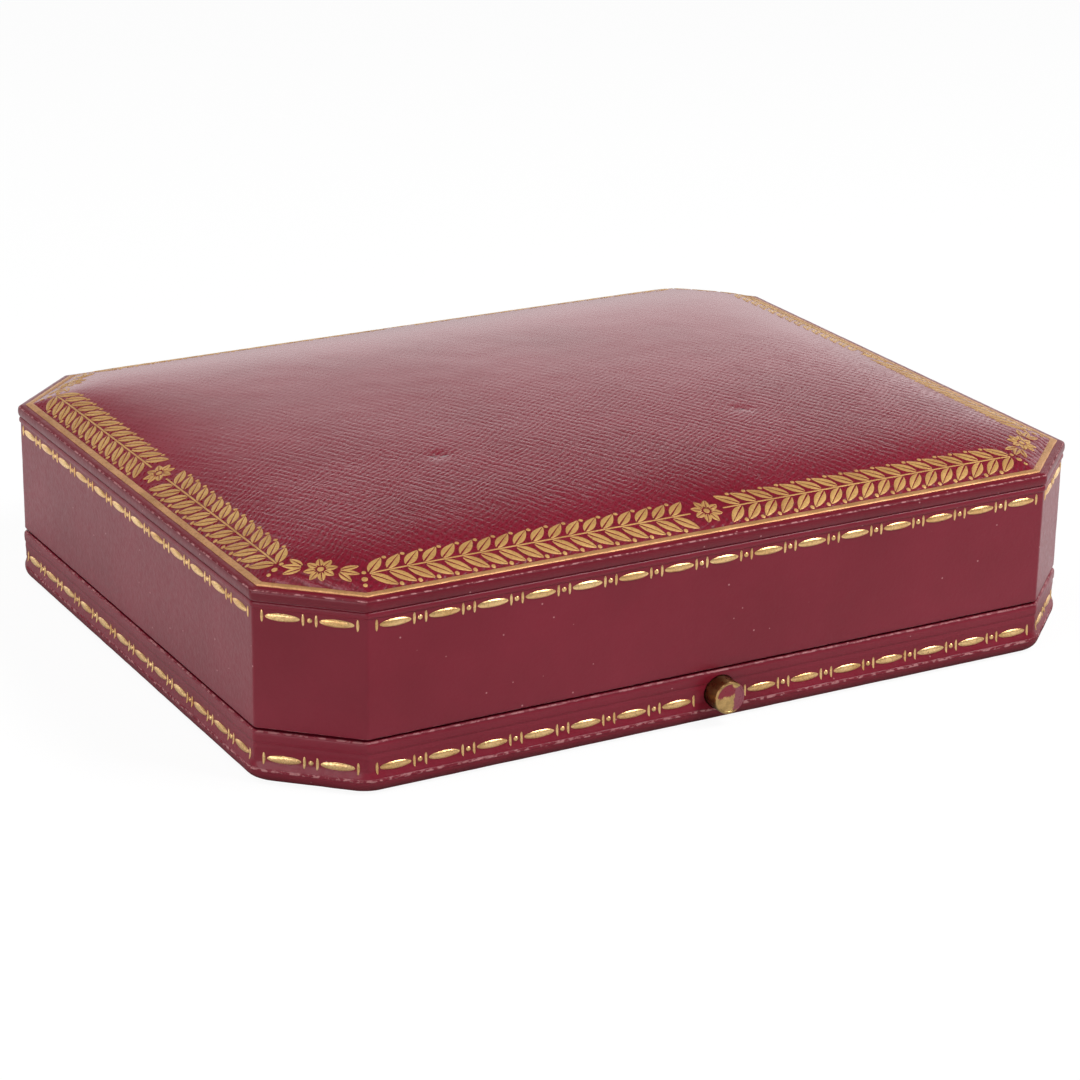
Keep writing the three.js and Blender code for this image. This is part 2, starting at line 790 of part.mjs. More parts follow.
function addHinges() {
  const half = HINGE_LENGTH / 2;
  const middle = HINGE_MIDDLE / 2;
  const outer = middle + KNUCKLE_GAP;
  hingePlaces().forEach((x, i) => {
    const hand = ["left", "right"][i];
    const baseKnuckles = [
      [-half, -outer],
      [outer, half],
    ];
    const baseLeaf = addMesh(caseGroup, "hinge_base_leaf_" + hand, hingeLeaf(-1, baseKnuckles), "brass");
    baseLeaf.position.set(x, hingeY, joint);
    const lidLeaf = addMesh(lidGroup, "hinge_lid_leaf_" + hand, hingeLeaf(1, [[-middle, middle]]), "brass");
    lidLeaf.position.set(x, hingeY, joint - lidBottom);
    const pin = rod("x", PIN_RADIUS, [0, 0, 0], half, half);
    addMesh(caseGroup, "hinge_pin_" + hand, pin, "brass").position.set(x, hingeY, joint);
  });
  leafScrewPlaces().forEach(([x, y], i) => {
    const name = ["left_outer", "left_inner", "right_inner", "right_outer"][i];
    const basePlace = [x, y, BASE_RIM - HEAD_HEIGHT];
    addScrew(caseGroup, "hinge_base_screw_" + name, basePlace, QUARTER, "brass");
    addScrew(lidGroup, "hinge_lid_screw_" + name, [x, y, HEAD_HEIGHT], -QUARTER, "brass");
  });
}

// Lid
function lidSideLeather() {
  const wallTop = GROOVE - BEAD;
  const bead = beadShares.map(([out, up]) => [out * BEAD_OUT, wallTop + up * BEAD]);
  let skin = band([
    [-LID_TURN_IN, 0],
    [-SOFT_EDGE, 0],
    [0, SOFT_EDGE],
    [0, wallTop],
    ...bead,
    [-GROOVE_DEPTH, GROOVE],
    [-LEATHER, GROOVE],
    [-LEATHER, LEATHER],
    [-LID_TURN_IN, LEATHER],
  ]);
  hingePlaces().forEach((x) => {
    skin = skin.subtract(leafNotch(x, -OVERRUN, LEAF + GLUE));
  });
  return skin;
}

function lidTopLeather() {
  const lip = lipShares.map(([out, up]) => [out * LIP_OUT, lipBottom + up * LIP]);
  const inside = LIP_OUT - LEATHER;
  const edge = [
    [-FILLET_INSET, lidEdge - LEATHER],
    [inside, lidEdge - LEATHER],
    [inside, lipBottom + LEATHER],
    [-LIP_TURN, lipBottom + LEATHER],
    [-LIP_TURN, lipBottom],
    ...lip,
  ];
  return loft(
    [
      ...domeRings(FILLET_INSET, LEATHER).slice(1).reverse(),
      ...edge.map(([offset, z]) => level(outline(offset), z)),
      ...domeRings(FILLET_INSET, 0),
    ],
    false,
  );
}

function lidTopBoard() {
  const nose = LIP_OUT - boardFace;
  const edge = -LIP_TURN - GLUE;
  const section = [
    [edge, topBoardBottom],
    [edge, lipBottom + boardFace],
    [nose, lipBottom + boardFace],
    [nose, topBoardTop],
  ];
  return loft(
    section.map(([offset, z]) => level(outline(offset), z)),
    false,
  );
}

function lidDomePad() {
  const inset = FILLET_INSET + DOME_PAD_INSET;
  const top = domeRings(inset, boardFace);
  return loft([level(outline(-inset), topBoardTop + GLUE), ...top], false);
}

function lidRail(k) {
  let shape = rail(k, [
    [-lidBoardInside, boardFace],
    [-boardFace, boardFace],
    [-boardFace, lidBoardTop],
    [-lidBoardInside, lidBoardTop],
  ]);
  if (sides[k].name === "front") {
    const window = keeperWindow();
    const deep = -halfWidth + lidBoardInside - NOSE_POCKET;
    const low = [-window.half, deep, window.bottom];
    const high = [window.half, -halfWidth + lidBoardInside + OVERRUN, window.top];
    shape = shape.subtract(block(low, high));
    keeperScrewPlaces().forEach(([x, z]) => {
      const place = [x, -halfWidth + lidBoardInside, z];
      shape = shape.subtract(rod("y", screwHole, place, SHANK_LENGTH, OVERRUN, SMALL_ROUND));
    });
  }
  if (sides[k].name === "back") {
    leafScrewPlaces().forEach(([x, y]) => {
      const place = [x, y, LEAF];
      const depth = SHANK_LENGTH + SCREW_CLEARANCE;
      shape = shape.subtract(rod("z", screwHole, place, OVERRUN, depth, SMALL_ROUND));
    });
  }
  return shape;
}

// Keeper: a plate in the lining's layer on the front rail, with a window for the catch's nose
function keeperWindow() {
  return {
    half: NOSE_WIDTH / 2 + KEEPER_PLAY,
    bottom: NOSE_BOTTOM - lidBottom - KEEPER_PLAY,
    top: NOSE_BOTTOM - lidBottom + NOSE_HEIGHT + KEEPER_PLAY,
  };
}

function keeperPlateBox(grow) {
  const window = keeperWindow();
  const half = KEEPER_WIDTH / 2 + grow;
  const low = [-half, -halfWidth + liningFace - grow, window.bottom - KEEPER_BAR - grow];
  const high = [half, -halfWidth + liningInside + grow, window.top + KEEPER_BAR + grow];
  return block(low, high);
}

function keeperScrewPlaces() {
  const window = keeperWindow();
  const x = (window.half + KEEPER_WIDTH / 2) / 2;
  const z = (window.bottom + window.top) / 2;
  return [
    [-x, z],
    [x, z],
  ];
}

function keeperPlate() {
  const window = keeperWindow();
  const low = [-window.half, -halfWidth, window.bottom];
  const high = [window.half, -halfWidth + collarInside, window.top];
  let shape = keeperPlateBox(0).subtract(block(low, high));
  keeperScrewPlaces().forEach(([x, z]) => {
    const place = [x, -halfWidth + liningFace, z];
    shape = shape.subtract(rod("y", screwHole, place, OVERRUN, OVERRUN, SMALL_ROUND));
  });
  return shape;
}

function lidSideLining() {
  const section = [
    [-liningFace, 0],
    [-liningFace, lidBoardTop],
    [-liningInside, lidBoardTop],
    [-liningInside, 0],
  ];
  return band(section).subtract(keeperPlateBox(GLUE));
}

function lidCushion() {
  const heightOver = (x, y) => CUSHION_CROWN * cushionRise(x, y, cushionInset);
  return cushion(cushionInset, cushionTop, -1, CUSHION_SIDE, heightOver);
}

function addLid() {
  sides.forEach((side, k) => addMesh(lidGroup, "lid_rail_" + side.name, lidRail(k), "board"));
  addMesh(lidGroup, "lid_top_board", lidTopBoard(), "board");
  addMesh(lidGroup, "lid_dome_pad", lidDomePad(), "wadding");
  addMesh(lidGroup, "lid_top_leather", lidTopLeather(), "leather");
  addMesh(lidGroup, "lid_side_leather", lidSideLeather(), "leather");
  addMesh(lidGroup, "lid_side_lining", lidSideLining(), "satin");
  const card = board(cushionInset, cushionTop + GLUE, lidBoardTop);
  addMesh(lidGroup, "lid_cushion_card", card, "card");
  addMesh(lidGroup, "lid_cushion", lidCushion(), "satin");
  addMesh(lidGroup, "keeper_plate", keeperPlate(), "brass");
  keeperScrewPlaces().forEach(([x, z], i) => {
    const name = "keeper_screw_" + ["left", "right"][i];
    addScrew(lidGroup, name, [x, -halfWidth + liningInside, z], 0, "brass");
  });
}

addBase();
addButton();
addCatch();
addHinges();
addLid();

export default caseGroup;
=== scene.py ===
import json
import math

import bmesh
import bpy
import numpy as np
from mathutils import Euler, Matrix, Vector, noise


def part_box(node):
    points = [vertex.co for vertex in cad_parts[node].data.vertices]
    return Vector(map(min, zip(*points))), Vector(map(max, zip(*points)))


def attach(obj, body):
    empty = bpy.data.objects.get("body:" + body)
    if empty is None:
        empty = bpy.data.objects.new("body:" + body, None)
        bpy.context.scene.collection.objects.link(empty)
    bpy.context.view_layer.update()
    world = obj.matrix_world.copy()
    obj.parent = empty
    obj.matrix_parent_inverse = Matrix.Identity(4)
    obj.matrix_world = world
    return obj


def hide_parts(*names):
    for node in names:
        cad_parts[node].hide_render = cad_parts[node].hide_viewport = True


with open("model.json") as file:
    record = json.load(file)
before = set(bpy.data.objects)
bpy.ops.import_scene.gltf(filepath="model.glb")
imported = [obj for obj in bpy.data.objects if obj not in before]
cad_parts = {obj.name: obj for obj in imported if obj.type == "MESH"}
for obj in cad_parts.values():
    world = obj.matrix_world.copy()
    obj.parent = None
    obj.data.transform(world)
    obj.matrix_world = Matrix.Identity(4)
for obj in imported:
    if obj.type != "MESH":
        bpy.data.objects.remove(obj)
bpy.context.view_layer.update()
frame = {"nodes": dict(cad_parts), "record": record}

# Lengths below are in millimetres, and each mesh is scaled to metres when it is made
MM = 0.001

# Outline of the lid's walls, edges and layers
CORNER_X = 13.1
CORNER_Y = 12.2
EDGE_RADIUS = 0.8
LEAST_RADIUS = 0.15
LEATHER = 0.6
BEAD = 1.0
BEAD_OUT = 0.25
GROOVE_DEPTH = 0.02
GROOVE_RISE = 0.08
GROOVE_LEAN = 0.05
UNDER_LIP = 0.02
SOFT_EDGE = 0.4
LID_TURN_IN = 3.4
LIP = 1.95
LIP_TURN = 0.8
FLAT_EDGE = 0.75
FLAT_EDGE_SLACK = 0.02
FILLET_INSET = 1.65
BASE_TURN_UNDER = 1.8
BASE_TURN_IN = 4.4
FOOT_CORNER = 5.0
FOOT_CORNER_SHARE = 0.45

# Cuts in the leather for the hinges and the button
NOTCH_GAP = 0.2
NOTCH_DEPTH = 0.9
CUT_OVERRUN = 1.0
BUTTON_GAP = 0.15
RECESS_START = -2.0
RECESS_DEPTH = 2.9

# Padded top
DOME_SHOULDER = 3.9
DOME_CROWN = 1.2
DOME_REACH = 6.3
EDGE_SHARPNESS = 4
DOME_RINGS_INSET = 18.0
DOME_RING_STEP = 0.6
DOME_UNDER_STEP = 3.0
DOME_SCALE_STEPS = 60

# Mesh steps
SKIN_STEP = 0.9
WALL_STEPS = 14
ARC_STEPS = 6
SECTION_ARC_STEPS = 4
SPLINE_STEPS = 4
SLOPE_STEP = 0.2
TURNED_SEGMENTS = 64
RECESS_SEGMENTS = 96
SMOOTH_ANGLE = math.radians(38)

# Irregularity of the leather: heights, wavelengths and seeds
WAVE_HEIGHT = 0.05
WAVE_SIZE = 26.0
WAVE_SEED = 3.1
DIMPLE_HEIGHT = 0.018
DIMPLE_SIZE = 5.0
DIMPLE_SEED = 7.7
EDGE_HEIGHT = 0.035
EDGE_SIZE = 2.2
EDGE_UP_SHARE = 0.6
EDGE_UP_SEED = 5

# Worn dents in the padded top: place, depth and radius
DENTS = [
    (-29.2, -19.8, 0.16, 1.7),
    (27.7, -21.2, 0.12, 1.6),
]
# Sharp marks in the dents: place, half width, half depth in plan and turn in degrees
DENT_MARKS = [
    (-30.2, -19.4, 1.0, 0.5, -24),
    (-28.3, -20.0, 1.0, 0.55, 18),
    (27.4, -21.3, 1.1, 0.4, 4),
]


def mm_box(node):
    low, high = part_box(node)
    return np.array(low) / MM, np.array(high) / MM


lid_low, lid_high = mm_box("lid_side_leather")
top_low, top_high = mm_box("lid_top_leather")
base_low, base_high = mm_box("base_leather")
button_low, button_high = mm_box("push_button")
half_length = lid_high[0] - BEAD_OUT
half_width = lid_high[1] - BEAD_OUT
lid_bottom = lid_low[2]
groove = lid_high[2]
wall_top = groove - BEAD
lip_bottom = top_low[2]
lip_out = top_high[0] - half_length
lid_edge = lip_bottom + LIP
foot = base_low[2]
rim = base_high[2]
base_height = rim - foot
base_flare = base_high[0] - half_length
button_centre = np.array([0.0, -half_width, (button_low[2] + button_high[2]) / 2])
button_radius = (button_high[0] - button_low[0]) / 2

# Outward points of the base's face, as shares of its flare and of its height
BASE_FACE_SHARES = [
    (-1.7, 0), (-0.7, 0.02), (0.15, 0.07), (0.75, 0.135),
    (1, 0.215), (0.88, 0.29), (0.45, 0.36), (0.1, 0.42),
    (0, 0.5), (0.05, 0.6), (0.15, 0.68), (0.1, 0.755),
    (0.3, 0.8), (0.35, 0.9), (0.2, 0.96), (-0.3, 1),
]
# Points of the lid's bead and lip, as shares of how far they stand out and of their height
BEAD_SHARES = [(0, 0), (0.75, 0.2), (1, 0.5), (0.85, 0.82), (0.45, 1)]
LIP_SHARES = [
    (0, 0), (0.6, 0.06), (0.95, 0.3), (1, 0.52),
    (0.86, 0.72), (0.4, 0.88), (-0.25, 0.96), (-0.95, 0.995),
]


# The outline's eight sides, anticlockwise from the right

corner_angle = math.atan2(CORNER_X, CORNER_Y)
corner_distance = half_length * math.cos(corner_angle) + (half_width - CORNER_Y) * math.sin(corner_angle)
SIDES = [
    ("right", 0, half_length),
    ("back_right", corner_angle, corner_distance),
    ("back", math.pi / 2, half_width),
    ("back_left", math.pi - corner_angle, corner_distance),
    ("left", math.pi, half_length),
    ("front_left", math.pi + corner_angle, corner_distance),
    ("front", 3 * math.pi / 2, half_width),
    ("front_right", 2 * math.pi - corner_angle, corner_distance),
]


def is_corner(k):
    return SIDES[k][2] == corner_distance


def unit(angle):
    return np.array([math.cos(angle), math.sin(angle)])


def round_angles(segments):
    return [2 * math.pi * i / segments for i in range(segments)]


def turn_after(k):
    turn = SIDES[(k + 1) % 8][1] - SIDES[k][1]
    return turn % (2 * math.pi)


def corner_point(k, offset):
    """Where side k meets the next one, with both moved outwards by an offset."""
    _, a, p = SIDES[k]
    _, b, q = SIDES[(k + 1) % 8]
    rows = np.array([unit(a), unit(b)])
    return np.linalg.solve(rows, np.array([p + offset, q + offset]))


def side_length(k, offset=0.0):
    return float(np.linalg.norm(corner_point(k, offset) - corner_point(k - 1, offset)))


side_counts = [max(2, round(side_length(k) / SKIN_STEP)) for k in range(8)]


def outline(offset, softer=0.0):
    """Points round the case at an offset from the lid's walls, with its corners rounded."""
    radius = max(EDGE_RADIUS + offset, LEAST_RADIUS) + softer
    points = []
    for k, (_, angle, _) in enumerate(SIDES):
        centre = corner_point(k, offset - radius)
        for i in range(ARC_STEPS + 1):
            points.append(centre + radius * unit(angle + turn_after(k) * i / ARC_STEPS))
        following = (k + 1) % 8
        start = points[-1]
        end = corner_point(following, offset - radius) + radius * unit(SIDES[following][1])
        count = side_counts[following]
        for i in range(1, count):
            points.append(start + (end - start) * i / count)
    return np.array(points)


def spline(points):
    """A smooth curve through a list of points."""
    p = np.array(points, float)
    ends = np.vstack([2 * p[0] - p[1], p, 2 * p[-1] - p[-2]])
    curve = []
    for i in range(len(p) - 1):
        a, b, c, d = ends[i : i + 4]
        for j in range(SPLINE_STEPS):
            t = j / SPLINE_STEPS
            square = (2 * a - 5 * b + 4 * c - d) * t**2
            cube = (3 * b - a - 3 * c + d) * t**3
            curve.append(0.5 * (2 * b + (c - a) * t + square + cube))
    curve.append(p[-1])
    return [tuple(q) for q in curve]


def scaled(shares, out, start, height):
    """Section points from shares of a reach outwards and of a height."""
    return [(out_share * out, start + up_share * height) for out_share, up_share in shares]


def arc(centre, radius, start, end):
    """Points of a section's rounding, from one angle to another in degrees."""
    points = []
    for i in range(SECTION_ARC_STEPS + 1):
        angle = math.radians(start + (end - start) * i / SECTION_ARC_STEPS)
        points.append((centre[0] + radius * math.cos(angle), centre[1] + radius * math.sin(angle)))
    return points


def over_edge(outer, inner, z, radius, way):
    """Section points from the outside to the inside of a band, over its rounded edge, up or down."""
    points = arc((outer - radius, z), radius, 0, way * 90)
    return points + arc((inner + radius, z), radius, way * 90, way * 180)


# Surface of the padded top


def edge_distance(x, y, inset):
    """Soft least distance from the outline's sides moved in by an inset."""
    total = 0
    for _, angle, distance in SIDES:
        reach = x * math.cos(angle) + y * math.sin(angle)
        total = total + np.maximum(distance - inset - reach, 0.001) ** -EDGE_SHARPNESS
    return total ** (-1 / EDGE_SHARPNESS)


def ripple(x, y, z, size, seed=0.0):
    return noise.noise(Vector((x / size + seed, y / size - seed, z / size + 2 * seed)))


def dome_height(x, y):
    """Height of the padded top above the lid's edge, with faint waves and dents."""
    rise = 1 - math.exp(-float(edge_distance(x, y, FILLET_INSET)) / DOME_REACH)
    crown = (1 - (x / half_length) ** 2) * (1 - (y / half_width) ** 2)
    height = rise * (DOME_SHOULDER + DOME_CROWN * crown)
    waves = WAVE_HEIGHT * ripple(x, y, 0, WAVE_SIZE, WAVE_SEED)
    waves += DIMPLE_HEIGHT * ripple(x, y, 0, DIMPLE_SIZE, DIMPLE_SEED)
    dents = 0
    for dent_x, dent_y, depth, radius in DENTS:
        square = (x - dent_x) ** 2 + (y - dent_y) ** 2
        dents += depth * math.exp(-square / radius**2)
    return height + rise * waves - dents


def dome_point(x, y, lift=0.0):
    """A point over the padded top, lifted off it along its normal."""
    here = dome_height(x, y)
    slope_x = (dome_height(x + SLOPE_STEP, y) - here) / SLOPE_STEP
    slope_y = (dome_height(x, y + SLOPE_STEP) - here) / SLOPE_STEP
    normal = np.array([-slope_x, -slope_y, 1.0])
    return np.array([x, y, lid_edge + here]) + lift * normal / np.linalg.norm(normal)


# Mesh tools


def mesh_object(name, shape):
    """An object of vertices in millimetres and faces, which are turned outwards."""
    vertices, faces = shape
    mesh = bpy.data.meshes.new(name)
    mesh.from_pydata([tuple(float(c) * MM for c in v) for v in vertices], [], faces)
    mesh.validate()
    solid = bmesh.new()
    solid.from_mesh(mesh)
    bmesh.ops.recalc_face_normals(solid, faces=solid.faces)
    solid.to_mesh(mesh)
    solid.free()
    made = bpy.data.objects.new(name, mesh)
    bpy.context.scene.collection.objects.link(made)
    return made


def smooth(piece):
    piece.data.shade_smooth()
    piece.data.set_sharp_from_angle(angle=SMOOTH_ANGLE)


def dress(piece, body, slot, material=None):
    """Gives a piece the look of its slot, smooth shading and its body."""
    piece.data.materials.clear()
    piece.data.materials.append(material or looks[slot])
    smooth(piece)
    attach(piece, body)


def make_piece(name, shape, body, slot, replaced=(), material=None):
    piece = mesh_object(name, shape)
    dress(piece, body, slot, material)
    if replaced:
        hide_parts(*replaced)
    return piece


def loft(rings, closed=False):
    """Vertices and faces of rings joined in order: closed on itself, or capped at both ends."""
    count = len(rings[0])
    vertices = [p for ring in rings for p in ring]
    faces = []
    last = len(rings) if closed else len(rings) - 1
    for r in range(last):
        low = r * count
        high = ((r + 1) % len(rings)) * count
        for i in range(count):
            j = (i + 1) % count
            faces.append((low + i, low + j, high + j, high + i))
    if not closed:
        for r in (0, len(rings) - 1):
            hub = len(vertices)
            vertices.append(np.mean(rings[r], axis=0))
            for i in range(count):
                a = r * count + i
                b = r * count + (i + 1) % count
                faces.append((hub, b, a) if r == 0 else (hub, a, b))
    return vertices, faces


def level(points, z):
    return [np.array([x, y, z]) for x, y in points]


def band_rings(section):
    return [level(outline(offset), z) for offset, z in section]


def roughen(rings, height=EDGE_HEIGHT, size=EDGE_SIZE, seed=0.0):
    """Small unevenness of a covered edge, in and out."""
    for ring in rings:
        for p in ring:
            reach = math.hypot(p[0], p[1])
            push = height * ripple(p[0], p[1], p[2], size, seed) / reach
            p[0] += p[0] * push
            p[1] += p[1] * push
            p[2] += height * ripple(p[0], p[1], p[2], size, seed + EDGE_UP_SEED) * EDGE_UP_SHARE
    return rings


def block(low, high):
    corners = [(x, y, z) for x in (low[0], high[0]) for y in (low[1], high[1]) for z in (low[2], high[2])]
    faces = [(0, 1, 3, 2), (4, 6, 7, 5), (0, 4, 5, 1), (2, 3, 7, 6), (0, 2, 6, 4), (1, 5, 7, 3)]
    return corners, faces


def turned(points, centre, segments=TURNED_SEGMENTS):
    """A shape turned about the Y axis, from front to back: points of radius and place."""
    rings = []
    for radius, place in points:
        ring = [(radius * math.cos(a), place, radius * math.sin(a)) for a in round_angles(segments)]
        rings.append([np.array(p) + centre for p in ring])
    return loft(rings)


def apply_modifiers(piece):
    bpy.context.view_layer.update()
    graph = bpy.context.evaluated_depsgraph_get()
    made = bpy.data.meshes.new_from_object(piece.evaluated_get(graph))
    piece.modifiers.clear()
    piece.data = made


def cut(piece, shape):
    """Takes a closed shape away from a piece."""
    cutter = mesh_object("cutter", shape)
    modifier = piece.modifiers.new("cut", "BOOLEAN")
    modifier.operation = "DIFFERENCE"
    modifier.solver = "EXACT"
    modifier.object = cutter
    apply_modifiers(piece)
    bpy.data.objects.remove(cutter)


# Materials


class Nodes:
    """Short calls that add nodes to a node tree."""

    def __init__(self, tree):
        self.tree = tree

    def add(self, kind, inputs=None, **settings):
        node = self.tree.nodes.new(kind)
        for key, value in settings.items():
            setattr(node, key, value)
        for key, value in (inputs or {}).items():
            self.put(node.inputs[key], value)
        return node

    def put(self, socket, value):
        if isinstance(value, bpy.types.NodeSocket):
            self.tree.links.new(value, socket)
        else:
            socket.default_value = value

    def math(self, operation, a, b=0.0):
        return self.add("ShaderNodeMath", {0: a, 1: b}, operation=operation).outputs[0]

    def plus(self, a, b):
        return self.math("ADD", a, b)

    def minus(self, a, b):
        return self.math("SUBTRACT", a, b)

    def times(self, a, b):
        return self.math("MULTIPLY", a, b)

    def most(self, first, *others):
        for other in others:
            first = self.math("MAXIMUM", first, other)
        return first

    def vectors(self, operation, inputs, output="Vector"):
        return self.add("ShaderNodeVectorMath", inputs, operation=operation).outputs[output]

    def split(self, vector):
        return self.add("ShaderNodeSeparateXYZ", {"Vector": vector}).outputs

    def between(self, value, low, high, to_low=0.0, to_high=1.0):
        inputs = {"Value": value, "From Min": low, "From Max": high, "To Min": to_low, "To Max": to_high}
        return self.add("ShaderNodeMapRange", inputs, clamp=True).outputs[0]

    def mix(self, factor, a, b):
        return self.add("ShaderNodeMix", {0: factor, 6: a, 7: b}, data_type="RGBA").outputs[2]


class Shader(Nodes):
    """A procedural material in the object's own space, with sizes in millimetres."""

    def __init__(self, name):
        self.material = bpy.data.materials.new(name)
        self.material.use_nodes = True
        super().__init__(self.material.node_tree)
        self.bsdf = self.tree.nodes["Principled BSDF"]
        places = self.add("ShaderNodeTexCoord").outputs
        self.place = places["Object"]
        self.facing = places["Normal"]

    def surface(self, **inputs):
        for key, value in inputs.items():
            self.put(self.bsdf.inputs[key.replace("_", " ")], value)
        return self.material

    def texture(self, kind, size, place=None, inputs=None, **settings):
        start = {"Vector": place or self.place, "Scale": 1 / (size * MM)}
        return self.add(kind, {**start, **(inputs or {})}, **settings).outputs

    def noise(self, size, detail=2.0, roughness=0.5, place=None):
        inputs = {"Detail": detail, "Roughness": roughness}
        return self.texture("ShaderNodeTexNoise", size, place, inputs)[0]

    def cells(self, size, place=None):
        cells = self.texture("ShaderNodeTexVoronoi", size, place, {"Randomness": 1.0}, feature="F1")
        return cells["Distance"]

    def ridges(self, pitch, angle, place):
        """Parallel ridges whose rise runs along an angle in plan."""
        size = 10 * pitch / math.pi
        way = {"wave_type": "BANDS", "bands_direction": "X"}
        return self.texture("ShaderNodeTexWave", size, self.turned(-angle, place=place), **way)["Fac"]

    def turned(self, angle=0.0, scale=(1, 1, 1), place=None):
        inputs = {"Vector": place or self.place, "Rotation": (0, 0, math.radians(angle)), "Scale": scale}
        return self.add("ShaderNodeMapping", inputs).outputs[0]

    def shifted(self, size, amount, place=None):
        """Places moved by noise of a size, by up to an amount."""
        start = place or self.place
        shift = self.texture("ShaderNodeTexNoise", size, start, {"Detail": 2.0})["Color"]
        middle = self.vectors("SUBTRACT", {0: shift, 1: (0.5, 0.5, 0.5)})
        move = self.vectors("SCALE", {0: middle, "Scale": 2 * amount * MM})
        return self.vectors("ADD", {0: start, 1: move})

    def stretched(self, angle, scale, middle=(0, 0)):
        """Places from a middle, in steps along an angle in plan, across it and upwards."""
        inputs = {"Vector": self.place, "Rotation": (0, 0, math.radians(angle)), "Scale": scale}
        inputs["Location"] = (middle[0] * MM, middle[1] * MM, 0)
        return self.add("ShaderNodeMapping", inputs, vector_type="TEXTURE").outputs[0]

    def mark(self, x, y, along, across, angle):
        """A soft oval mark seen from above: 1 at its middle and 0 at its edge."""
        place = self.stretched(angle, (along * MM, across * MM, 1), (x, y))
        return self.between(self.vectors("LENGTH", {0: place}, "Value"), 0.3, 1.0, 1.0, 0.0)

    def along(self, place, start, end):
        """A value that changes between two places, each given with its value."""
        return self.between(place, start[0] * MM, end[0] * MM, start[1], end[1])

    def square(self, a, b):
        return self.plus(self.times(a, a), self.times(b, b))

    def bump(self, height, distance, normal=None):
        inputs = {"Height": height, "Distance": distance * MM, "Strength": 1.0}
        if normal:
            inputs["Normal"] = normal
        return self.add("ShaderNodeBump", inputs).outputs[0]


def srgb(r, g, b):
    """Linear colour of 8-bit values."""
    channels = [c / 255 for c in (r, g, b)]
    return tuple(c / 12.92 if c <= 0.04045 else ((c + 0.055) / 1.055) ** 2.4 for c in channels) + (1.0,)


CRIMSON = srgb(124, 23, 43)
DEEP_CRIMSON = srgb(114, 17, 36)
DARK_CRIMSON = srgb(100, 14, 30)
SHADE_CRIMSON = srgb(92, 6, 22)
RIDGE_RUB_AND_HIGHLIGHT = srgb(142, 46, 62)
# Pale edge colour: rubbing and a painted highlight
EDGE_RUB_AND_HIGHLIGHT = srgb(206, 150, 150)
DUST = srgb(205, 150, 152)
LEATHERCLOTH = (srgb(72, 22, 32), srgb(54, 14, 24))
FLAT_GILT = (srgb(204, 160, 94), srgb(180, 134, 76))
LINE_GILT = (srgb(214, 160, 110), srgb(186, 136, 86))
# Lighter tones for the wall rolls' gilding: a painted highlight on the same gold leaf
BRIGHT_GILT = (srgb(252, 212, 150), srgb(226, 176, 112))
THIN_GILT = srgb(132, 84, 44)
WORN_GILT = srgb(118, 46, 42)
LACQUER = (srgb(128, 14, 38), srgb(134, 60, 74))
BUTTON_BRASS = (srgb(214, 176, 116), srgb(104, 74, 42))
BRASS = (srgb(214, 176, 110), srgb(96, 62, 38))
STEEL = (srgb(142, 144, 150), srgb(112, 114, 122))
VELVET = (srgb(24, 20, 25), srgb(38, 32, 39))
VELVET_SHEEN = srgb(150, 140, 155)
SATIN = (srgb(234, 221, 196), srgb(226, 211, 183))
SATIN_SHADE = srgb(196, 176, 140)
WOOD = (srgb(196, 164, 118), srgb(172, 136, 92))
WOOD_FIBRE = srgb(150, 114, 74)
CARD = (srgb(206, 198, 178), srgb(186, 176, 154))
WADDING = (srgb(236, 230, 216), srgb(216, 208, 190))

LEATHER_IOR = 1.4
TOP_GLOSS = 0.27
# The top's grain: its strength near the front and further back, then the ridges that cross in it
WORN_FRONT = (-32, 1.1)
WORN_BACK = (18, 0.1)
STEEP_PITCH = 0.92
STEEP_ANGLE = -53
FLAT_PITCH = 1.5
FLAT_ANGLE = 27
RUN_ANGLE = -63


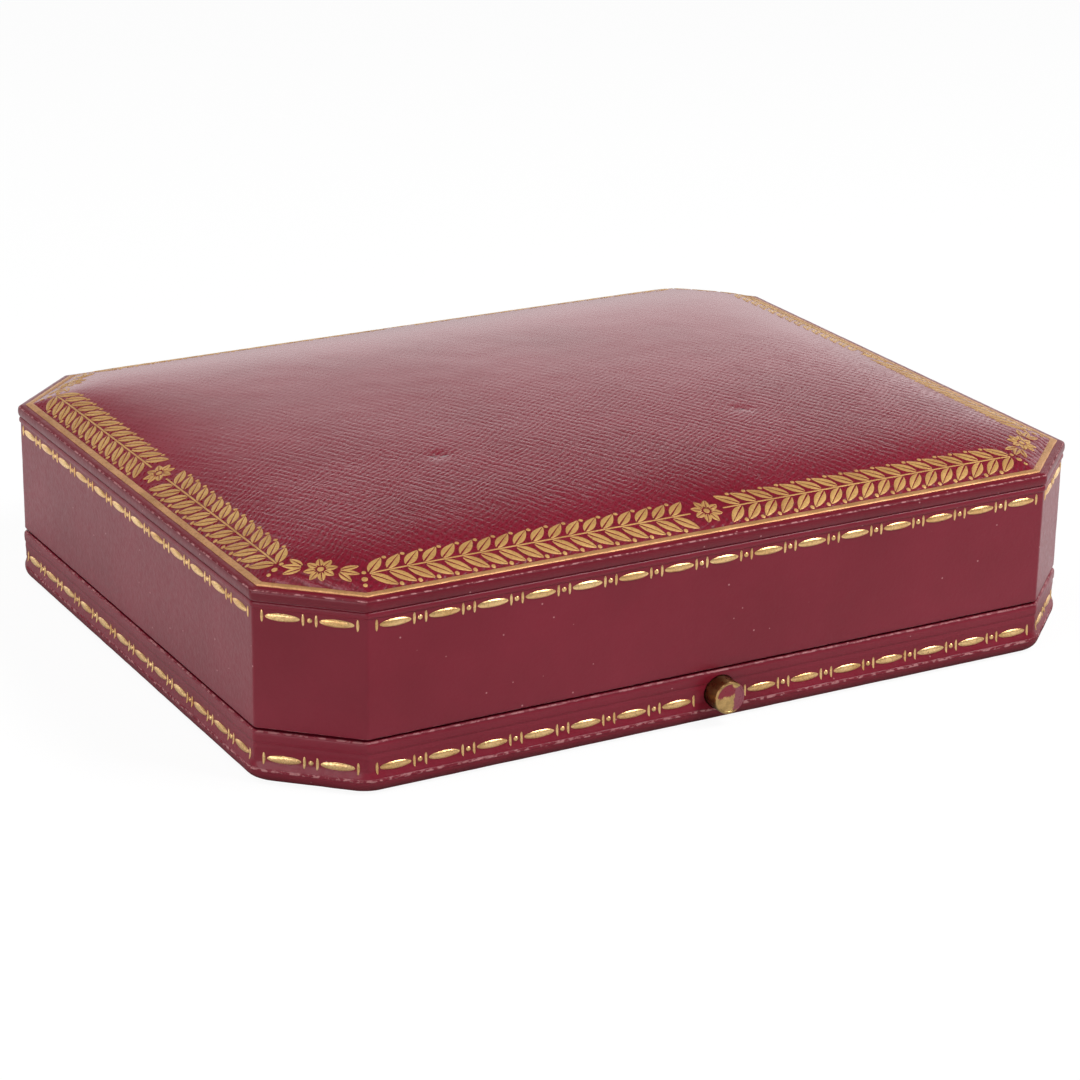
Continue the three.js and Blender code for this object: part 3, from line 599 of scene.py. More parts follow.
def top_leather():
    """Crosshatched grain over the padded top, worn smooth towards the back, with a few dents; painted shade
    darkens its pits and dents, and its ridges are paler from rubbing and a painted highlight.
    """
    s = Shader("leather_top")
    steep = s.minus(1.0, s.ridges(STEEP_PITCH, STEEP_ANGLE, s.shifted(2.6, 0.34, s.shifted(9, 1.7))))
    flat = s.minus(1.0, s.ridges(FLAT_PITCH, FLAT_ANGLE, s.shifted(3.2, 0.75)))
    steep_share = s.between(s.noise(7, 2.0), 0.4, 0.6, 0.2, 0.6)
    flat_share = s.between(s.noise(9, 2.0, 0.5, s.shifted(9, 4)), 0.4, 0.6, 0.2, 0.75)
    steep_lines = s.times(s.math("POWER", steep, 2.5), steep_share)
    flat_lines = s.times(s.math("POWER", flat, 2.5), flat_share)
    runs = s.between(s.noise(0.6, 2.0, 0.5, s.stretched(RUN_ANGLE, (6, 1, 1))), 0.54, 0.7, 0.0, 0.6)
    depth = s.most(s.times(steep, flat), steep_lines, flat_lines, runs)
    uneven = s.between(s.noise(1.3, 3.0, 0.6), 0.3, 0.7, 0.3, 1.15)
    worn = s.along(s.split(s.place)["Y"], WORN_FRONT, WORN_BACK)
    depth = s.times(s.times(depth, uneven), worn)
    marks = s.most(*[s.mark(*mark) for mark in DENT_MARKS])
    grain = s.minus(1.0, depth)
    normal = s.bump(grain, 0.07)
    normal = s.bump(s.times(s.noise(0.45, 3.0, 0.6), worn), 0.012, normal)
    normal = s.bump(s.minus(1.0, marks), 0.3, normal)
    tone = s.mix(s.between(s.noise(22, 3.0), 0.35, 0.7), CRIMSON, DEEP_CRIMSON)
    # Ridges paler: rubbing and a painted highlight
    tone = s.mix(s.between(grain, 0.75, 1.0, 0.0, 0.12), tone, RIDGE_RUB_AND_HIGHLIGHT)
    # Pits and dents darker: painted shade
    tone = s.mix(s.between(depth, 0.15, 0.8, 0.0, 0.7), tone, SHADE_CRIMSON)
    tone = s.mix(s.times(marks, 0.7), tone, SHADE_CRIMSON)
    rough = s.between(depth, 0, 0.6, TOP_GLOSS, TOP_GLOSS + 0.14)
    return s.surface(Base_Color=tone, Roughness=rough, IOR=LEATHER_IOR, Normal=normal)


def near_edges(s, edges):
    """How near the leather is to its rubbed level edges, which also carry painted highlights; flat faces have
    none.
    """
    height = s.split(s.place)["Z"]
    shares = []
    for middle, reach, strength in edges:
        away = s.math("ABSOLUTE", s.minus(height, middle * MM))
        shares.append(s.between(away, reach * MM * 0.35, reach * MM, strength, 0.0))
    level_share = s.math("ABSOLUTE", s.split(s.facing)["Z"])
    return s.times(s.most(*shares), s.between(level_share, 0.92, 0.99, 1.0, 0.0))


def side_leather(name, edges, dash, tones=(CRIMSON, DEEP_CRIMSON), shade_and_dull_below=None):
    """Smoother, dusty leather, rubbed pale in dashes at its edges, which also carry painted highlights; where
    told, it is darker with painted shade and duller low down.
    """
    s = Shader(name)
    grain = s.noise(0.9, 4.0, 0.65)
    pores = s.cells(0.55, s.shifted(2, 0.2))
    near = near_edges(s, edges)
    knocks = s.noise(0.55, 2.0, 0.6, s.turned(0, (0.4, 0.4, 1)))
    normal = s.bump(grain, 0.04)
    normal = s.bump(pores, 0.012, normal)
    normal = s.bump(s.times(knocks, s.between(near, 0, 0.3)), 0.16, normal)
    tone = s.mix(s.between(s.noise(16, 4.0), 0.3, 0.75), *tones)
    tone = s.mix(s.between(s.cells(2.9), 0.035, 0.06, 0.6, 0.0), tone, DUST)
    dashes = s.between(s.noise(0.5, 2.0, 0.6, s.turned(0, (0.5 / dash, 0.5 / dash, 0.8))), 0.47, 0.58)
    rough = s.between(grain, 0.3, 0.7, 0.3, 0.42)
    if shade_and_dull_below:
        # Darker and rougher low down: painted shade near the floor, and duller leather
        shade_and_dull = s.along(s.split(s.place)["Z"], *shade_and_dull_below)
        tone = s.mix(s.times(shade_and_dull, 0.75), tone, SHADE_CRIMSON)
        rough = s.plus(rough, s.times(shade_and_dull, 0.3))
    rough = s.plus(rough, s.times(near, 0.5))
    # Paler dashes at the edges: rubbing and a painted highlight
    tone = s.mix(s.times(near, dashes), tone, EDGE_RUB_AND_HIGHLIGHT)
    return s.surface(Base_Color=tone, Roughness=rough, IOR=LEATHER_IOR, Normal=normal)


def cloth_leather():
    s = Shader("leathercloth")
    weave = s.plus(s.ridges(0.7, 0, s.place), s.ridges(0.7, 90, s.place))
    tone = s.mix(s.noise(5, 3.0), *LEATHERCLOTH)
    return s.surface(Base_Color=tone, Roughness=0.75, Normal=s.bump(weave, 0.05))


def gilding(name, tones, metal, polish):
    """Gold leaf pressed into leather: stippled, and thin and worn in places."""
    s = Shader(name)
    fine = s.noise(0.4, 3.0, 0.6)
    tone = s.mix(s.between(s.noise(4.5, 3.0), 0.35, 0.7), *tones)
    tone = s.mix(s.between(fine, 0.5, 0.66, 0.0, 0.35), tone, THIN_GILT)
    worn = s.between(s.noise(0.9, 5.0, 0.7), 0.64, 0.72, 0.0, 0.8)
    tone = s.mix(worn, tone, WORN_GILT)
    rough = s.between(fine, 0.3, 0.7, polish, polish + 0.14)
    metallic = s.between(worn, 0, 0.8, metal, 0.1)
    return s.surface(Base_Color=tone, Metallic=metallic, Roughness=rough, Normal=s.bump(fine, 0.05))


def brass():
    s = Shader("brass")
    stain = s.between(s.noise(2.4, 4.0, 0.65), 0.42, 0.66, 0.0, 0.35)
    scratches = s.noise(1.0, 3.0, 0.7, s.turned(0, (1, 1, 14)))
    rough = s.between(scratches, 0.3, 0.7, 0.22, 0.34)
    normal = s.bump(scratches, 0.006)
    return s.surface(Base_Color=s.mix(stain, *BRASS), Metallic=1.0, Roughness=rough, Normal=normal)


def steel():
    s = Shader("steel")
    brushed = s.noise(1.2, 3.0, 0.7, s.turned(0, (1, 1, 20)))
    tone = s.mix(s.noise(6, 2.0), *STEEL)
    rough = s.between(brushed, 0.3, 0.7, 0.34, 0.5)
    return s.surface(Base_Color=tone, Metallic=1.0, Roughness=rough, Normal=s.bump(brushed, 0.01))


def velvet():
    s = Shader("velvet")
    pile = s.noise(0.28, 3.0, 0.7)
    tone = s.mix(s.between(s.noise(9, 3.0), 0.4, 0.62), *VELVET)
    s.surface(Sheen_Weight=0.7, Sheen_Roughness=0.4, Sheen_Tint=VELVET_SHEEN)
    return s.surface(Base_Color=tone, Roughness=0.95, Normal=s.bump(pile, 0.12))


def satin():
    s = Shader("satin")
    threads = s.plus(s.ridges(0.3, 0, s.place), s.ridges(0.36, 90, s.place))
    crush = s.noise(2.4, 4.0, 0.6)
    tone = s.mix(s.between(s.noise(26, 3.0), 0.3, 0.75), *SATIN)
    tone = s.mix(s.between(threads, 0.4, 1.6, 0.25, 0.0), tone, SATIN_SHADE)
    normal = s.bump(threads, 0.014, s.bump(crush, 0.12))
    return s.surface(Base_Color=tone, Roughness=0.34, Anisotropic=0.5, Sheen_Weight=0.2, Normal=normal)


def wood():
    s = Shader("wood")
    rings = s.ridges(1.7, 62, s.shifted(12, 1.2))
    fibre = s.noise(0.6, 3.0, place=s.turned(0, (0.12, 1, 1)))
    tone = s.mix(rings, *WOOD)
    tone = s.mix(s.between(fibre, 0.4, 0.7, 0.0, 0.5), tone, WOOD_FIBRE)
    return s.surface(Base_Color=tone, Roughness=0.7, Normal=s.bump(fibre, 0.03))


def card():
    s = Shader("card")
    fibre = s.noise(0.9, 4.0, 0.7)
    return s.surface(Base_Color=s.mix(fibre, *CARD), Roughness=0.9, Normal=s.bump(fibre, 0.04))


def wadding():
    s = Shader("wadding")
    fluff = s.noise(1.4, 5.0, 0.75)
    tone = s.mix(fluff, *WADDING)
    return s.surface(Base_Color=tone, Roughness=1.0, Sheen_Weight=0.4, Normal=s.bump(fluff, 0.25))


# Edges rubbed pale and lit by painted highlight dashes: height, reach and strength
LID_EDGE_RUB_AND_HIGHLIGHT = [(lid_bottom + 0.12, 0.16, 0.2)]
LIP_EDGE_RUB_AND_HIGHLIGHT = [(lip_bottom + 0.86 * LIP, 0.13, 0.6)]
BASE_EDGE_RUB_AND_HIGHLIGHT = [(rim - 0.14, 0.19, 0.35), (foot + 0.26 * base_height, 0.3, 0.55)]
# Painted shade near the floor, with duller leather: heights and strengths
FOOT_SHADE_AND_DULLING = [(foot + 0.1 * base_height, 1.0), (foot + 0.24 * base_height, 0.0)]

leather_top = top_leather()
leather_lid = side_leather("leather_lid", LID_EDGE_RUB_AND_HIGHLIGHT, 0.9)
# The lip's leather is a darker copy of the same leather: painted shade on the lip's face
shaded_leather_lip = side_leather("shaded_leather_lip", LIP_EDGE_RUB_AND_HIGHLIGHT, 1.1, (DEEP_CRIMSON, DARK_CRIMSON))
leather_base = side_leather("leather_base", BASE_EDGE_RUB_AND_HIGHLIGHT, 1.0, shade_and_dull_below=FOOT_SHADE_AND_DULLING)
gilt_flat = gilding("gilt_flat", FLAT_GILT, 0.25, 0.42)
gilt_line = gilding("gilt_line", LINE_GILT, 0.5, 0.42)
# The rolls' gilding is a lighter copy of the same gold: painted highlight
gilt_bright = gilding("gilt_bright", BRIGHT_GILT, 0.75, 0.25)
looks = {
    "leather": leather_base,
    "gilt": gilt_flat,
    "leathercloth": cloth_leather(),
    "board": wood(),
    "card": card(),
    "wadding": wadding(),
    "velvet": velvet(),
    "satin": satin(),
    "brass": brass(),
    "steel": steel(),
}
# Cards wrapped in the cloth of the cushion that they carry
WRAPPED_CARDS = {"pad_board": "velvet", "lid_cushion_card": "satin"}
for part in frame["record"]["subparts"]:
    look = WRAPPED_CARDS.get(part["node"], part["material_slot"])
    for slot in frame["nodes"][part["node"]].material_slots:
        slot.material = looks[look]


# Leather skins

base_face = spline(scaled(BASE_FACE_SHARES, base_flare, foot, base_height))
face_offsets, face_heights = np.array(base_face).T
BASE_SECTION = [
    (-BASE_TURN_UNDER, foot),
    *base_face,
    (-BASE_TURN_IN, rim),
    (-BASE_TURN_IN, rim - LEATHER),
    (-LEATHER, rim - LEATHER),
    (-LEATHER, foot + LEATHER),
    (-BASE_TURN_UNDER, foot + LEATHER),
]


def base_offset(z):
    return float(np.interp(z, face_heights, face_offsets))


def cut_hinge_notches(piece, kind, low_z, high_z):
    """Room for the hinge leaves in the leather's turned edge."""
    for hand in ("left", "right"):
        low, high = mm_box(f"hinge_{kind}_leaf_{hand}")
        start = (low[0] - NOTCH_GAP, low[1] - NOTCH_GAP, low_z)
        end = (high[0] + NOTCH_GAP, half_width + CUT_OVERRUN, high_z)
        cut(piece, block(start, end))


def make_base_skin():
    """The base's leather, with corners that soften towards the foot."""
    rings = []
    for offset, z in BASE_SECTION:
        share = min(1.0, (z - foot) / base_height / FOOT_CORNER_SHARE)
        rings.append(level(outline(offset, FOOT_CORNER * (1 - share) ** 0.5), z))
    roughen(rings, seed=1.7)
    piece = make_piece("base_skin", loft(rings, True), "base", "leather", ["base_leather"], leather_base)
    radius = button_radius + BUTTON_GAP
    recess = [(radius, RECESS_START), (radius, RECESS_DEPTH)]
    cut(piece, turned(recess, button_centre, RECESS_SEGMENTS))
    cut_hinge_notches(piece, "base", rim - NOTCH_DEPTH, rim + CUT_OVERRUN)
    smooth(piece)


def make_lid_wall_skin():
    """The lid's side leather, with its bead and its turned-in lower edge."""
    start = lid_bottom + SOFT_EDGE
    section = [(-LID_TURN_IN, lid_bottom)]
    section += arc((-SOFT_EDGE, start), SOFT_EDGE, -90, 0)
    section += [(0, start + (wall_top - start) * i / WALL_STEPS) for i in range(1, WALL_STEPS)]
    section += spline(scaled(BEAD_SHARES, BEAD_OUT, wall_top, BEAD))
    section += [
        (-GROOVE_DEPTH, groove + GROOVE_RISE),
        (-GROOVE_DEPTH - GROOVE_LEAN, lip_bottom + UNDER_LIP),
        (-LEATHER, lip_bottom + UNDER_LIP),
        (-LEATHER, lid_bottom + LEATHER),
        (-LID_TURN_IN, lid_bottom + LEATHER),
    ]
    shape = loft(roughen(band_rings(section), seed=2.9), True)
    piece = make_piece("lid_wall_skin", shape, "lid", "leather", ["lid_side_leather"], leather_lid)
    cut_hinge_notches(piece, "lid", lid_bottom - CUT_OVERRUN, lid_bottom + NOTCH_DEPTH)
    smooth(piece)


def dome_rings(drop, step, first=FILLET_INSET):
    """Rings over the padded top, from an inset to near the centre."""
    insets = np.arange(first, first + DOME_RINGS_INSET, step)
    plans = [outline(-inset) for inset in insets]
    inner = plans[-1]
    steps = round(DOME_SCALE_STEPS * DOME_RING_STEP / step)
    plans += [inner * (1 - i / steps) for i in range(1, steps)]
    rings = []
    for plan in plans:
        rings.append([np.array([x, y, lid_edge + dome_height(x, y) - drop]) for x, y in plan])
    return rings


def make_lid_top_skin():
    """The top's leather: padded dome, flat edge and rounded lip."""
    inside = lip_out - LEATHER
    section = [
        (-FILLET_INSET, lid_edge - LEATHER),
        (inside, lid_edge - LEATHER),
        (inside, lip_bottom + LEATHER),
        (-LIP_TURN, lip_bottom + LEATHER),
        (-LIP_TURN, lip_bottom),
        *spline(scaled(LIP_SHARES, lip_out, lip_bottom, LIP)),
        (-FLAT_EDGE, lid_edge),
    ]
    rings = dome_rings(LEATHER, DOME_UNDER_STEP)[1:][::-1]
    rings += roughen(band_rings(section), seed=4.3)
    rings += dome_rings(0, DOME_RING_STEP)
    piece = make_piece("lid_top_skin", loft(rings), "lid", "leather", ["lid_top_leather"], leather_top)
    piece.data.materials.append(shaded_leather_lip)
    lip_top = (lid_edge + FLAT_EDGE_SLACK) * MM
    for face in piece.data.polygons:
        if face.center.z < lip_top:
            face.material_index = 1


make_base_skin()
make_lid_wall_skin()
make_lid_top_skin()


# Gilt tooling

GILT_SUNK = 0.12
GILT_RIM = 0.02
GILT_CREST = 0.07

# The border: leaves on a stem, rosettes, sprays beside those of the corners, and berries
BORDER_INSET = 5.6
LEAF_LENGTH = 4.4
LEAF_WIDTH = 1.75
LEAF_ANGLE = math.radians(40)
LEAF_PITCH = 3.0
LEAF_STATIONS = 9
LEAF_END_SHARE = 0.03
VEIN_WIDTH = 0.26
VEIN_TIP = 0.03
STEM_WIDTH = 0.28
STEM_GAPS = (0.9, 0.4)
ROSETTE_RADIUS = 2.6
ROSETTE_HEART = 0.2 * ROSETTE_RADIUS
ROSETTE_PETALS = 8
PETAL_START = 0.28 * ROSETTE_RADIUS
PETAL_LENGTH = ROSETTE_RADIUS - PETAL_START
PETAL_WIDTH = 0.46 * ROSETTE_RADIUS
PETAL_VEIN = 0.16
PETAL_STATIONS = 6
BERRY = 0.36
BERRY_OUT = 0.2
BERRY_AHEAD = 0.5
SPRAY_GAP = 0.35
SPRAY_LENGTHS = {-1: 2.88, 0: 3.2, 1: 2.88}
SPRAY_WIDTH = 0.66 * LEAF_WIDTH
SPRAY_STATIONS = 7
SPRAY_ANGLE = math.radians(31)
# Berries across the border at the outline's corners: steps inwards, and radii
CORNER_BERRIES = [(-2.1, BERRY), (-0.9, 1.35 * BERRY), (0.5, BERRY)]

# Convex section of the fillet: offsets, and heights over the lid's edge
FILLET_SECTION = [
    (-0.98, -0.15), (-0.98, 0.04), (-1.06, 0.14), (-1.22, 0.21),
    (-1.45, 0.26), (-1.7, 0.3), (-1.9, 0.32), (-2.06, 0.3),
    (-2.14, 0.22), (-2.14, 0.1), (-1.65, -0.15),
]

# The rolls on the walls: olives, and reels with a pearl between them
ROLL_PITCH = 8.0
ROLL_END = 0.5
OLIVE_SHARE = 0.64
OLIVE_HALF_HEIGHT = 0.62
OLIVE_CREST = 0.26
REEL_HALF_HEIGHT = 0.95
REEL_HALF_WIDTH = 0.24
REEL_GAP = 0.5
REEL_CREST = 0.14
PEARL = 0.4
PEARL_CREST = 0.2
LID_ROLL_HEIGHT = groove - 2.1
BASE_ROLL_HEIGHT = rim - 4.4
BUTTON_SPACE = 3.8


class Tooling:
    """Thin closed shapes of gold leaf, drawn flat and laid on a surface."""

    def __init__(self):
        self.vertices = []
        self.faces = []
        self.lay = None

    def add(self, vertices, faces):
        start = len(self.vertices)
        self.vertices += vertices
        self.faces += [tuple(start + v for v in face) for face in faces]

    def patch(self, rows):
        """A closed shape over a grid of flat points with heights."""
        count = len(rows)
        width = len(rows[0])
        below = count * width
        vertices = [self.lay(a, b, lift) for row in rows for a, b, lift in row]
        vertices += [self.lay(a, b, -GILT_SUNK) for row in rows for a, b, _ in row]
        faces = []
        for r in range(count - 1):
            for c in range(width - 1):
                i = r * width + c
                quad = (i, i + 1, i + width + 1, i + width)
                faces += [quad, tuple(v + below for v in reversed(quad))]
        border = [(0, c) for c in range(width)] + [(r, width - 1) for r in range(1, count)]
        border += [(count - 1, c) for c in range(width - 2, -1, -1)]
        border += [(r, 0) for r in range(count - 2, 0, -1)]
        loop = [r * width + c for r, c in border]
        faces += [(b, a, a + below, b + below) for a, b in zip(loop, loop[1:] + loop[:1])]
        self.add(vertices, faces)

    def disc(self, a, b, across, along, segments=14, crest=GILT_CREST):
        """An oval pearl."""
        shoulder = GILT_RIM + 0.75 * (crest - GILT_RIM)
        rings = []
        for share, lift in ((1, -GILT_SUNK), (1, GILT_RIM), (0.72, shoulder), (0.4, crest)):
            ways = [unit(angle) for angle in round_angles(segments)]
            rings.append([self.lay(a + share * across * x, b + share * along * y, lift) for x, y in ways])
        vertices, faces = loft(rings)
        vertices[-2:] = [self.lay(a, b, -GILT_SUNK), self.lay(a, b, crest)]
        self.add(vertices, faces)

    def stroke(self, points, width):
        """A line of a width along flat points."""
        p = np.array(points, float)
        rows = []
        for i in range(len(p)):
            ahead = p[min(i + 1, len(p) - 1)] - p[max(i - 1, 0)]
            side = np.array([-ahead[1], ahead[0]]) / np.linalg.norm(ahead)
            heights = ((-0.5, GILT_RIM), (0, GILT_CREST), (0.5, GILT_RIM))
            rows.append([(*(p[i] + side * width * share), lift) for share, lift in heights])
        self.patch(rows)

    def leaf(self, a, b, angle, length, width, vein=VEIN_WIDTH, stations=LEAF_STATIONS):
        """A pointed leaf in two halves beside a bare vein."""
        along = unit(angle)
        across = np.array([-along[1], along[0]])
        heights = ((0, GILT_RIM), (0.35, GILT_CREST), (0.7, GILT_CREST * 0.85), (1, GILT_RIM))
        for hand in (-1, 1):
            rows = []
            for i in range(stations + 1):
                share = LEAF_END_SHARE + (1 - 2 * LEAF_END_SHARE) * i / stations
                half = width / 2 * math.sin(math.pi * share**0.85) ** 0.8
                inner = min(vein / 2 * (1 - share) + VEIN_TIP, half * 0.5)
                start = np.array([a, b]) + along * share * length
                row = [(*(start + hand * across * (inner + c * (half - inner))), lift) for c, lift in heights]
                rows.append(row[::hand])
            self.patch(rows)

    def piece(self, name, body, material):
        make_piece(name, (self.vertices, self.faces), body, "gilt", (), material)


def side_places(k):
    """Turns a place along side k and out from it into one in plan."""
    normal = unit(SIDES[k][1])
    along = np.array([-normal[1], normal[0]])
    middle = (corner_point(k, 0) + corner_point(k - 1, 0)) / 2
    return lambda u, out: middle + along * u + normal * out


def rosette(tool, x, y):
    tool.disc(x, y, ROSETTE_HEART, ROSETTE_HEART)
    for turn in round_angles(ROSETTE_PETALS):
        angle = turn + math.pi / ROSETTE_PETALS
        start = np.array([x, y]) + PETAL_START * unit(angle)
        tool.leaf(*start, angle, PETAL_LENGTH, PETAL_WIDTH, PETAL_VEIN, PETAL_STATIONS)


def laurel_run(tool, hand, start, end):
    """Pairs of leaves with berries along a stem."""
    reach = LEAF_LENGTH * math.cos(LEAF_ANGLE)
    rise = LEAF_LENGTH * math.sin(LEAF_ANGLE)
    count = max(1, round((start - end - reach) / LEAF_PITCH) + 1)
    steps = max(2, int(start - end))
    stem = [(hand * (end + (start - end) * i / steps), BORDER_INSET) for i in range(steps + 1)]
    tool.stroke(stem, STEM_WIDTH)
    for i in range(count):
        u = start - i * (start - end - reach) / max(count - 1, 1)
        for up in (-1, 1):
            angle = (math.pi if hand > 0 else 0) - hand * up * LEAF_ANGLE
            tool.leaf(hand * u, BORDER_INSET + up * STEM_WIDTH, angle, LEAF_LENGTH, LEAF_WIDTH)
            if i < count - 1:
                out = BORDER_INSET + up * (rise + BERRY_OUT)
                tool.disc(hand * (u - reach - BERRY_AHEAD), out, BERRY, BERRY, 10)


def spray(tool, hand):
    """Three small leaves beside a corner's rosette."""
    for up, length in SPRAY_LENGTHS.items():
        angle = (0 if hand > 0 else math.pi) + hand * up * SPRAY_ANGLE
        start = hand * (ROSETTE_RADIUS + SPRAY_GAP)
        tool.leaf(start, BORDER_INSET + SPRAY_GAP * up, angle, length, SPRAY_WIDTH, stations=SPRAY_STATIONS)


def make_border():
    """A laurel round the padded top, with a rosette at the middle of each side."""
    tool = Tooling()
    for k in range(8):
        place = side_places(k)
        tool.lay = lambda u, v, lift, place=place: dome_point(*place(u, -v), lift)
        rosette(tool, 0, BORDER_INSET)
        start = side_length(k, -BORDER_INSET) / 2 - STEM_GAPS[0]
        for hand in (-1, 1):
            if is_corner(k):
                spray(tool, hand)
            else:
                laurel_run(tool, hand, start, ROSETTE_RADIUS + STEM_GAPS[1])
    tool.lay = dome_point
    for k in range(8):
        for step, radius in CORNER_BERRIES:
            x, y = corner_point(k, -(BORDER_INSET + step))
            tool.disc(x, y, radius, radius, 12)
    tool.piece("gilt_border", "lid", gilt_flat)


def make_fillet():
    """The plain gilt line that rounds the foot of the padded top."""
    section = [(offset, lid_edge + lift) for offset, lift in FILLET_SECTION]
    rings = roughen(band_rings(section), height=0.05, size=1.3, seed=6.1)
    make_piece("gilt_fillet", loft(rings, True), "lid", "gilt", (), gilt_line)


def roll(tool, start, end, height):
    """Olives between pairs of reels with a pearl."""
    count = max(1, round((end - start) / ROLL_PITCH))
    pitch = (end - start) / count
    half_olive = pitch * OLIVE_SHARE / 2
    for i in range(count):
        centre = start + (i + 0.5) * pitch
        tool.disc(centre, height, half_olive, OLIVE_HALF_HEIGHT, 28, OLIVE_CREST)
        for hand in (-1, 1):
            place = centre + hand * (half_olive + REEL_GAP)
            tool.disc(place, height, REEL_HALF_WIDTH, REEL_HALF_HEIGHT, 14, REEL_CREST)
    for i in range(1, count):
        tool.disc(start + i * pitch, height, PEARL, PEARL, 12, PEARL_CREST)


def make_roll(name, body, height, offset_at, gap):
    tool = Tooling()
    for k in range(8):
        place = side_places(k)
        tool.lay = lambda u, z, lift, place=place: np.array([*place(u, offset_at(z) + lift), z])
        half = side_length(k) / 2 - ROLL_END
        parted = gap and SIDES[k][0] == "front"
        for start, end in [(-half, -gap), (gap, half)] if parted else [(-half, half)]:
            roll(tool, start, end, height)
    tool.piece(name, body, gilt_bright)


make_border()
make_fillet()
make_roll("gilt_lid_roll", "lid", LID_ROLL_HEIGHT, lambda z: 0.0, 0)
make_roll("gilt_base_roll", "base", BASE_ROLL_HEIGHT, base_offset, BUTTON_SPACE)


# Push button

STEM_RADIUS = 1.2
BUTTON_SHOULDER = 0.6
BUTTON_AXIS = 0.05
BUTTON_HOLLOW = 0.12
BUTTON_HOLLOW_SLOPE = 0.01
# The face's rim: steps in from the radius, and back from the front
BUTTON_RIM = [(0.42, 0.09), (0.34, 0.02), (0.2, 0), (0.08, 0.05), (0, 0.2)]
# The lacquer fades out between two depths, and is bare at a place of the face given in shares of
# the button's radius: across, up and how far round it
LACQUER_DEPTHS = (0.22, 0.3)
BARE_PLACE_SHARES = (0.42, 0.84, 0.3)


def button_look():
    """Brass with burgundy lacquer, worn through at the lower left; darker off the face, with tarnish and
    painted shade.
    """
    s = Shader("button_brass")
    split = s.split(s.place)
    across = s.math("DIVIDE", split["X"], button_radius * MM)
    up = s.math("DIVIDE", s.minus(split["Z"], button_centre[2] * MM), button_radius * MM)
    ragged = s.between(s.noise(1.4, 4.0, 0.65), 0.2, 0.8, -0.3, 0.3)
    right = s.between(s.plus(across, ragged), 0.2, 0.28)
    above = s.between(s.plus(up, s.times(ragged, 0.6)), 0.08, 0.16)
    bare_across, bare_up, reach = BARE_PLACE_SHARES
    from_bare = s.square(s.minus(across, bare_across), s.minus(up, bare_up))
    bare = s.between(from_bare, 0.6 * reach**2, reach**2, 1.0, 0.0)
    lacquer = s.math("MINIMUM", s.most(right, above), s.minus(1.0, bare))
    inside = s.between(s.square(across, up), 0.72, 0.8, 1.0, 0.0)
    fading, faded = (button_low[1] + depth for depth in LACQUER_DEPTHS)
    on_face = s.along(split["Y"], (fading, 1.0), (faded, 0.0))
    right_rim = s.between(across, 0.3, 0.5)
    covered = s.times(s.times(lacquer, s.most(inside, right_rim)), on_face)
    stain = s.between(s.noise(1.6, 4.0, 0.65), 0.4, 0.66, 0.0, 0.5)
    # Off the face the brass is darker: tarnish and painted shade
    metal = s.mix(s.most(stain, s.between(on_face, 0, 1, 0.8, 0.0)), *BUTTON_BRASS)
    tone = s.mix(covered, metal, s.mix(right, *LACQUER))
    rough = s.between(s.noise(0.7, 3.0), 0.3, 0.7, 0.24, 0.4)
    return s.surface(Base_Color=tone, Metallic=s.between(covered, 0, 1, 1.0, 0.0), Roughness=rough)


def make_button():
    front = button_low[1] + half_width
    back = button_high[1] + half_width
    hollow = front + BUTTON_HOLLOW
    points = [(BUTTON_AXIS, hollow), (button_radius * 0.5, hollow - BUTTON_HOLLOW_SLOPE)]
    points += [(button_radius - inwards, front + step) for inwards, step in BUTTON_RIM]
    points += [(button_radius, BUTTON_SHOULDER), (STEM_RADIUS, BUTTON_SHOULDER)]
    points += [(STEM_RADIUS, back), (BUTTON_AXIS, back)]
    shape = turned(points, button_centre)
    make_piece("button_plug", shape, "button", "brass", ["push_button"], button_look())


make_button()


# Soft pieces inside

DOME_PAD_INSET = 3.15
DOME_PAD_DROP = 0.8
COLLAR = 1.5
COLLAR_ROUND = 0.55
CATCH_WINDOW = 13
CATCH_ROOM = 8.5
COLLAR_ROOM = 7.2
KEEPER_GAP = 0.2
LINING_THICKNESS = 0.6
LINING_ROUND = 0.25
LINING_START = 1
LINING_STEPS = 8
LINING_FOLD = 0.24
LINING_FOLD_PITCH = 2.6
LINING_FOLD_LENGTH = 30

PAD_INSET = 7.2
PAD_SIDE = 1.75
PAD_CROWN = 0.9
PAD_CHANNEL = 1.1
PAD_CHANNEL_PLACE = 17
PAD_CHANNEL_WIDTH = 1.5
CUSHION_INSET = 5.2
CUSHION_SIDE = 1.6
CUSHION_CROWN = 0.75
CUSHION_GATHER = 0.34
CUSHION_GATHER_REACH = 6.0
CUSHION_GATHER_PITCH = 1.5
CUSHION_GATHER_LENGTH = 14

PAD_ROUND = 1.0
PAD_RISE = 9.0
PAD_DRAW = 0.45
PAD_SLACK = 0.25
PAD_STEP = 1.6
PAD_RINGS_INSET = 20.0
PAD_LAST_SCALE = 0.03
PAD_SCALE_STEPS = 22
# Rings of a pad's side: insets as shares of its rounding, and heights as shares of its side
PAD_SIDE_SHARES = [(1, 0), (0.3, 0.1), (0, 0.4), (0.1, 0.68), (0.45, 0.9), (1, 1)]

VOXEL = 1.6
HELD_HEIGHT = 0.25
CLOTH_FRAMES = 20
CLOTH_PRESSURE = 4.0
CLOTH_MASS = 0.02
SPREAD_CAP = 0.3
RISE_CAP = 0.75


def nearest_side(x, y):
    """The side that a place is nearest to, its distance from it, and how far along it lies."""
    best = None
    for k, (_, angle, distance) in enumerate(SIDES):
        away = distance - x * math.cos(angle) - y * math.sin(angle)
        if best is None or away < best[1]:
            best = (k, away, y * math.cos(angle) - x * math.sin(angle))
    return best


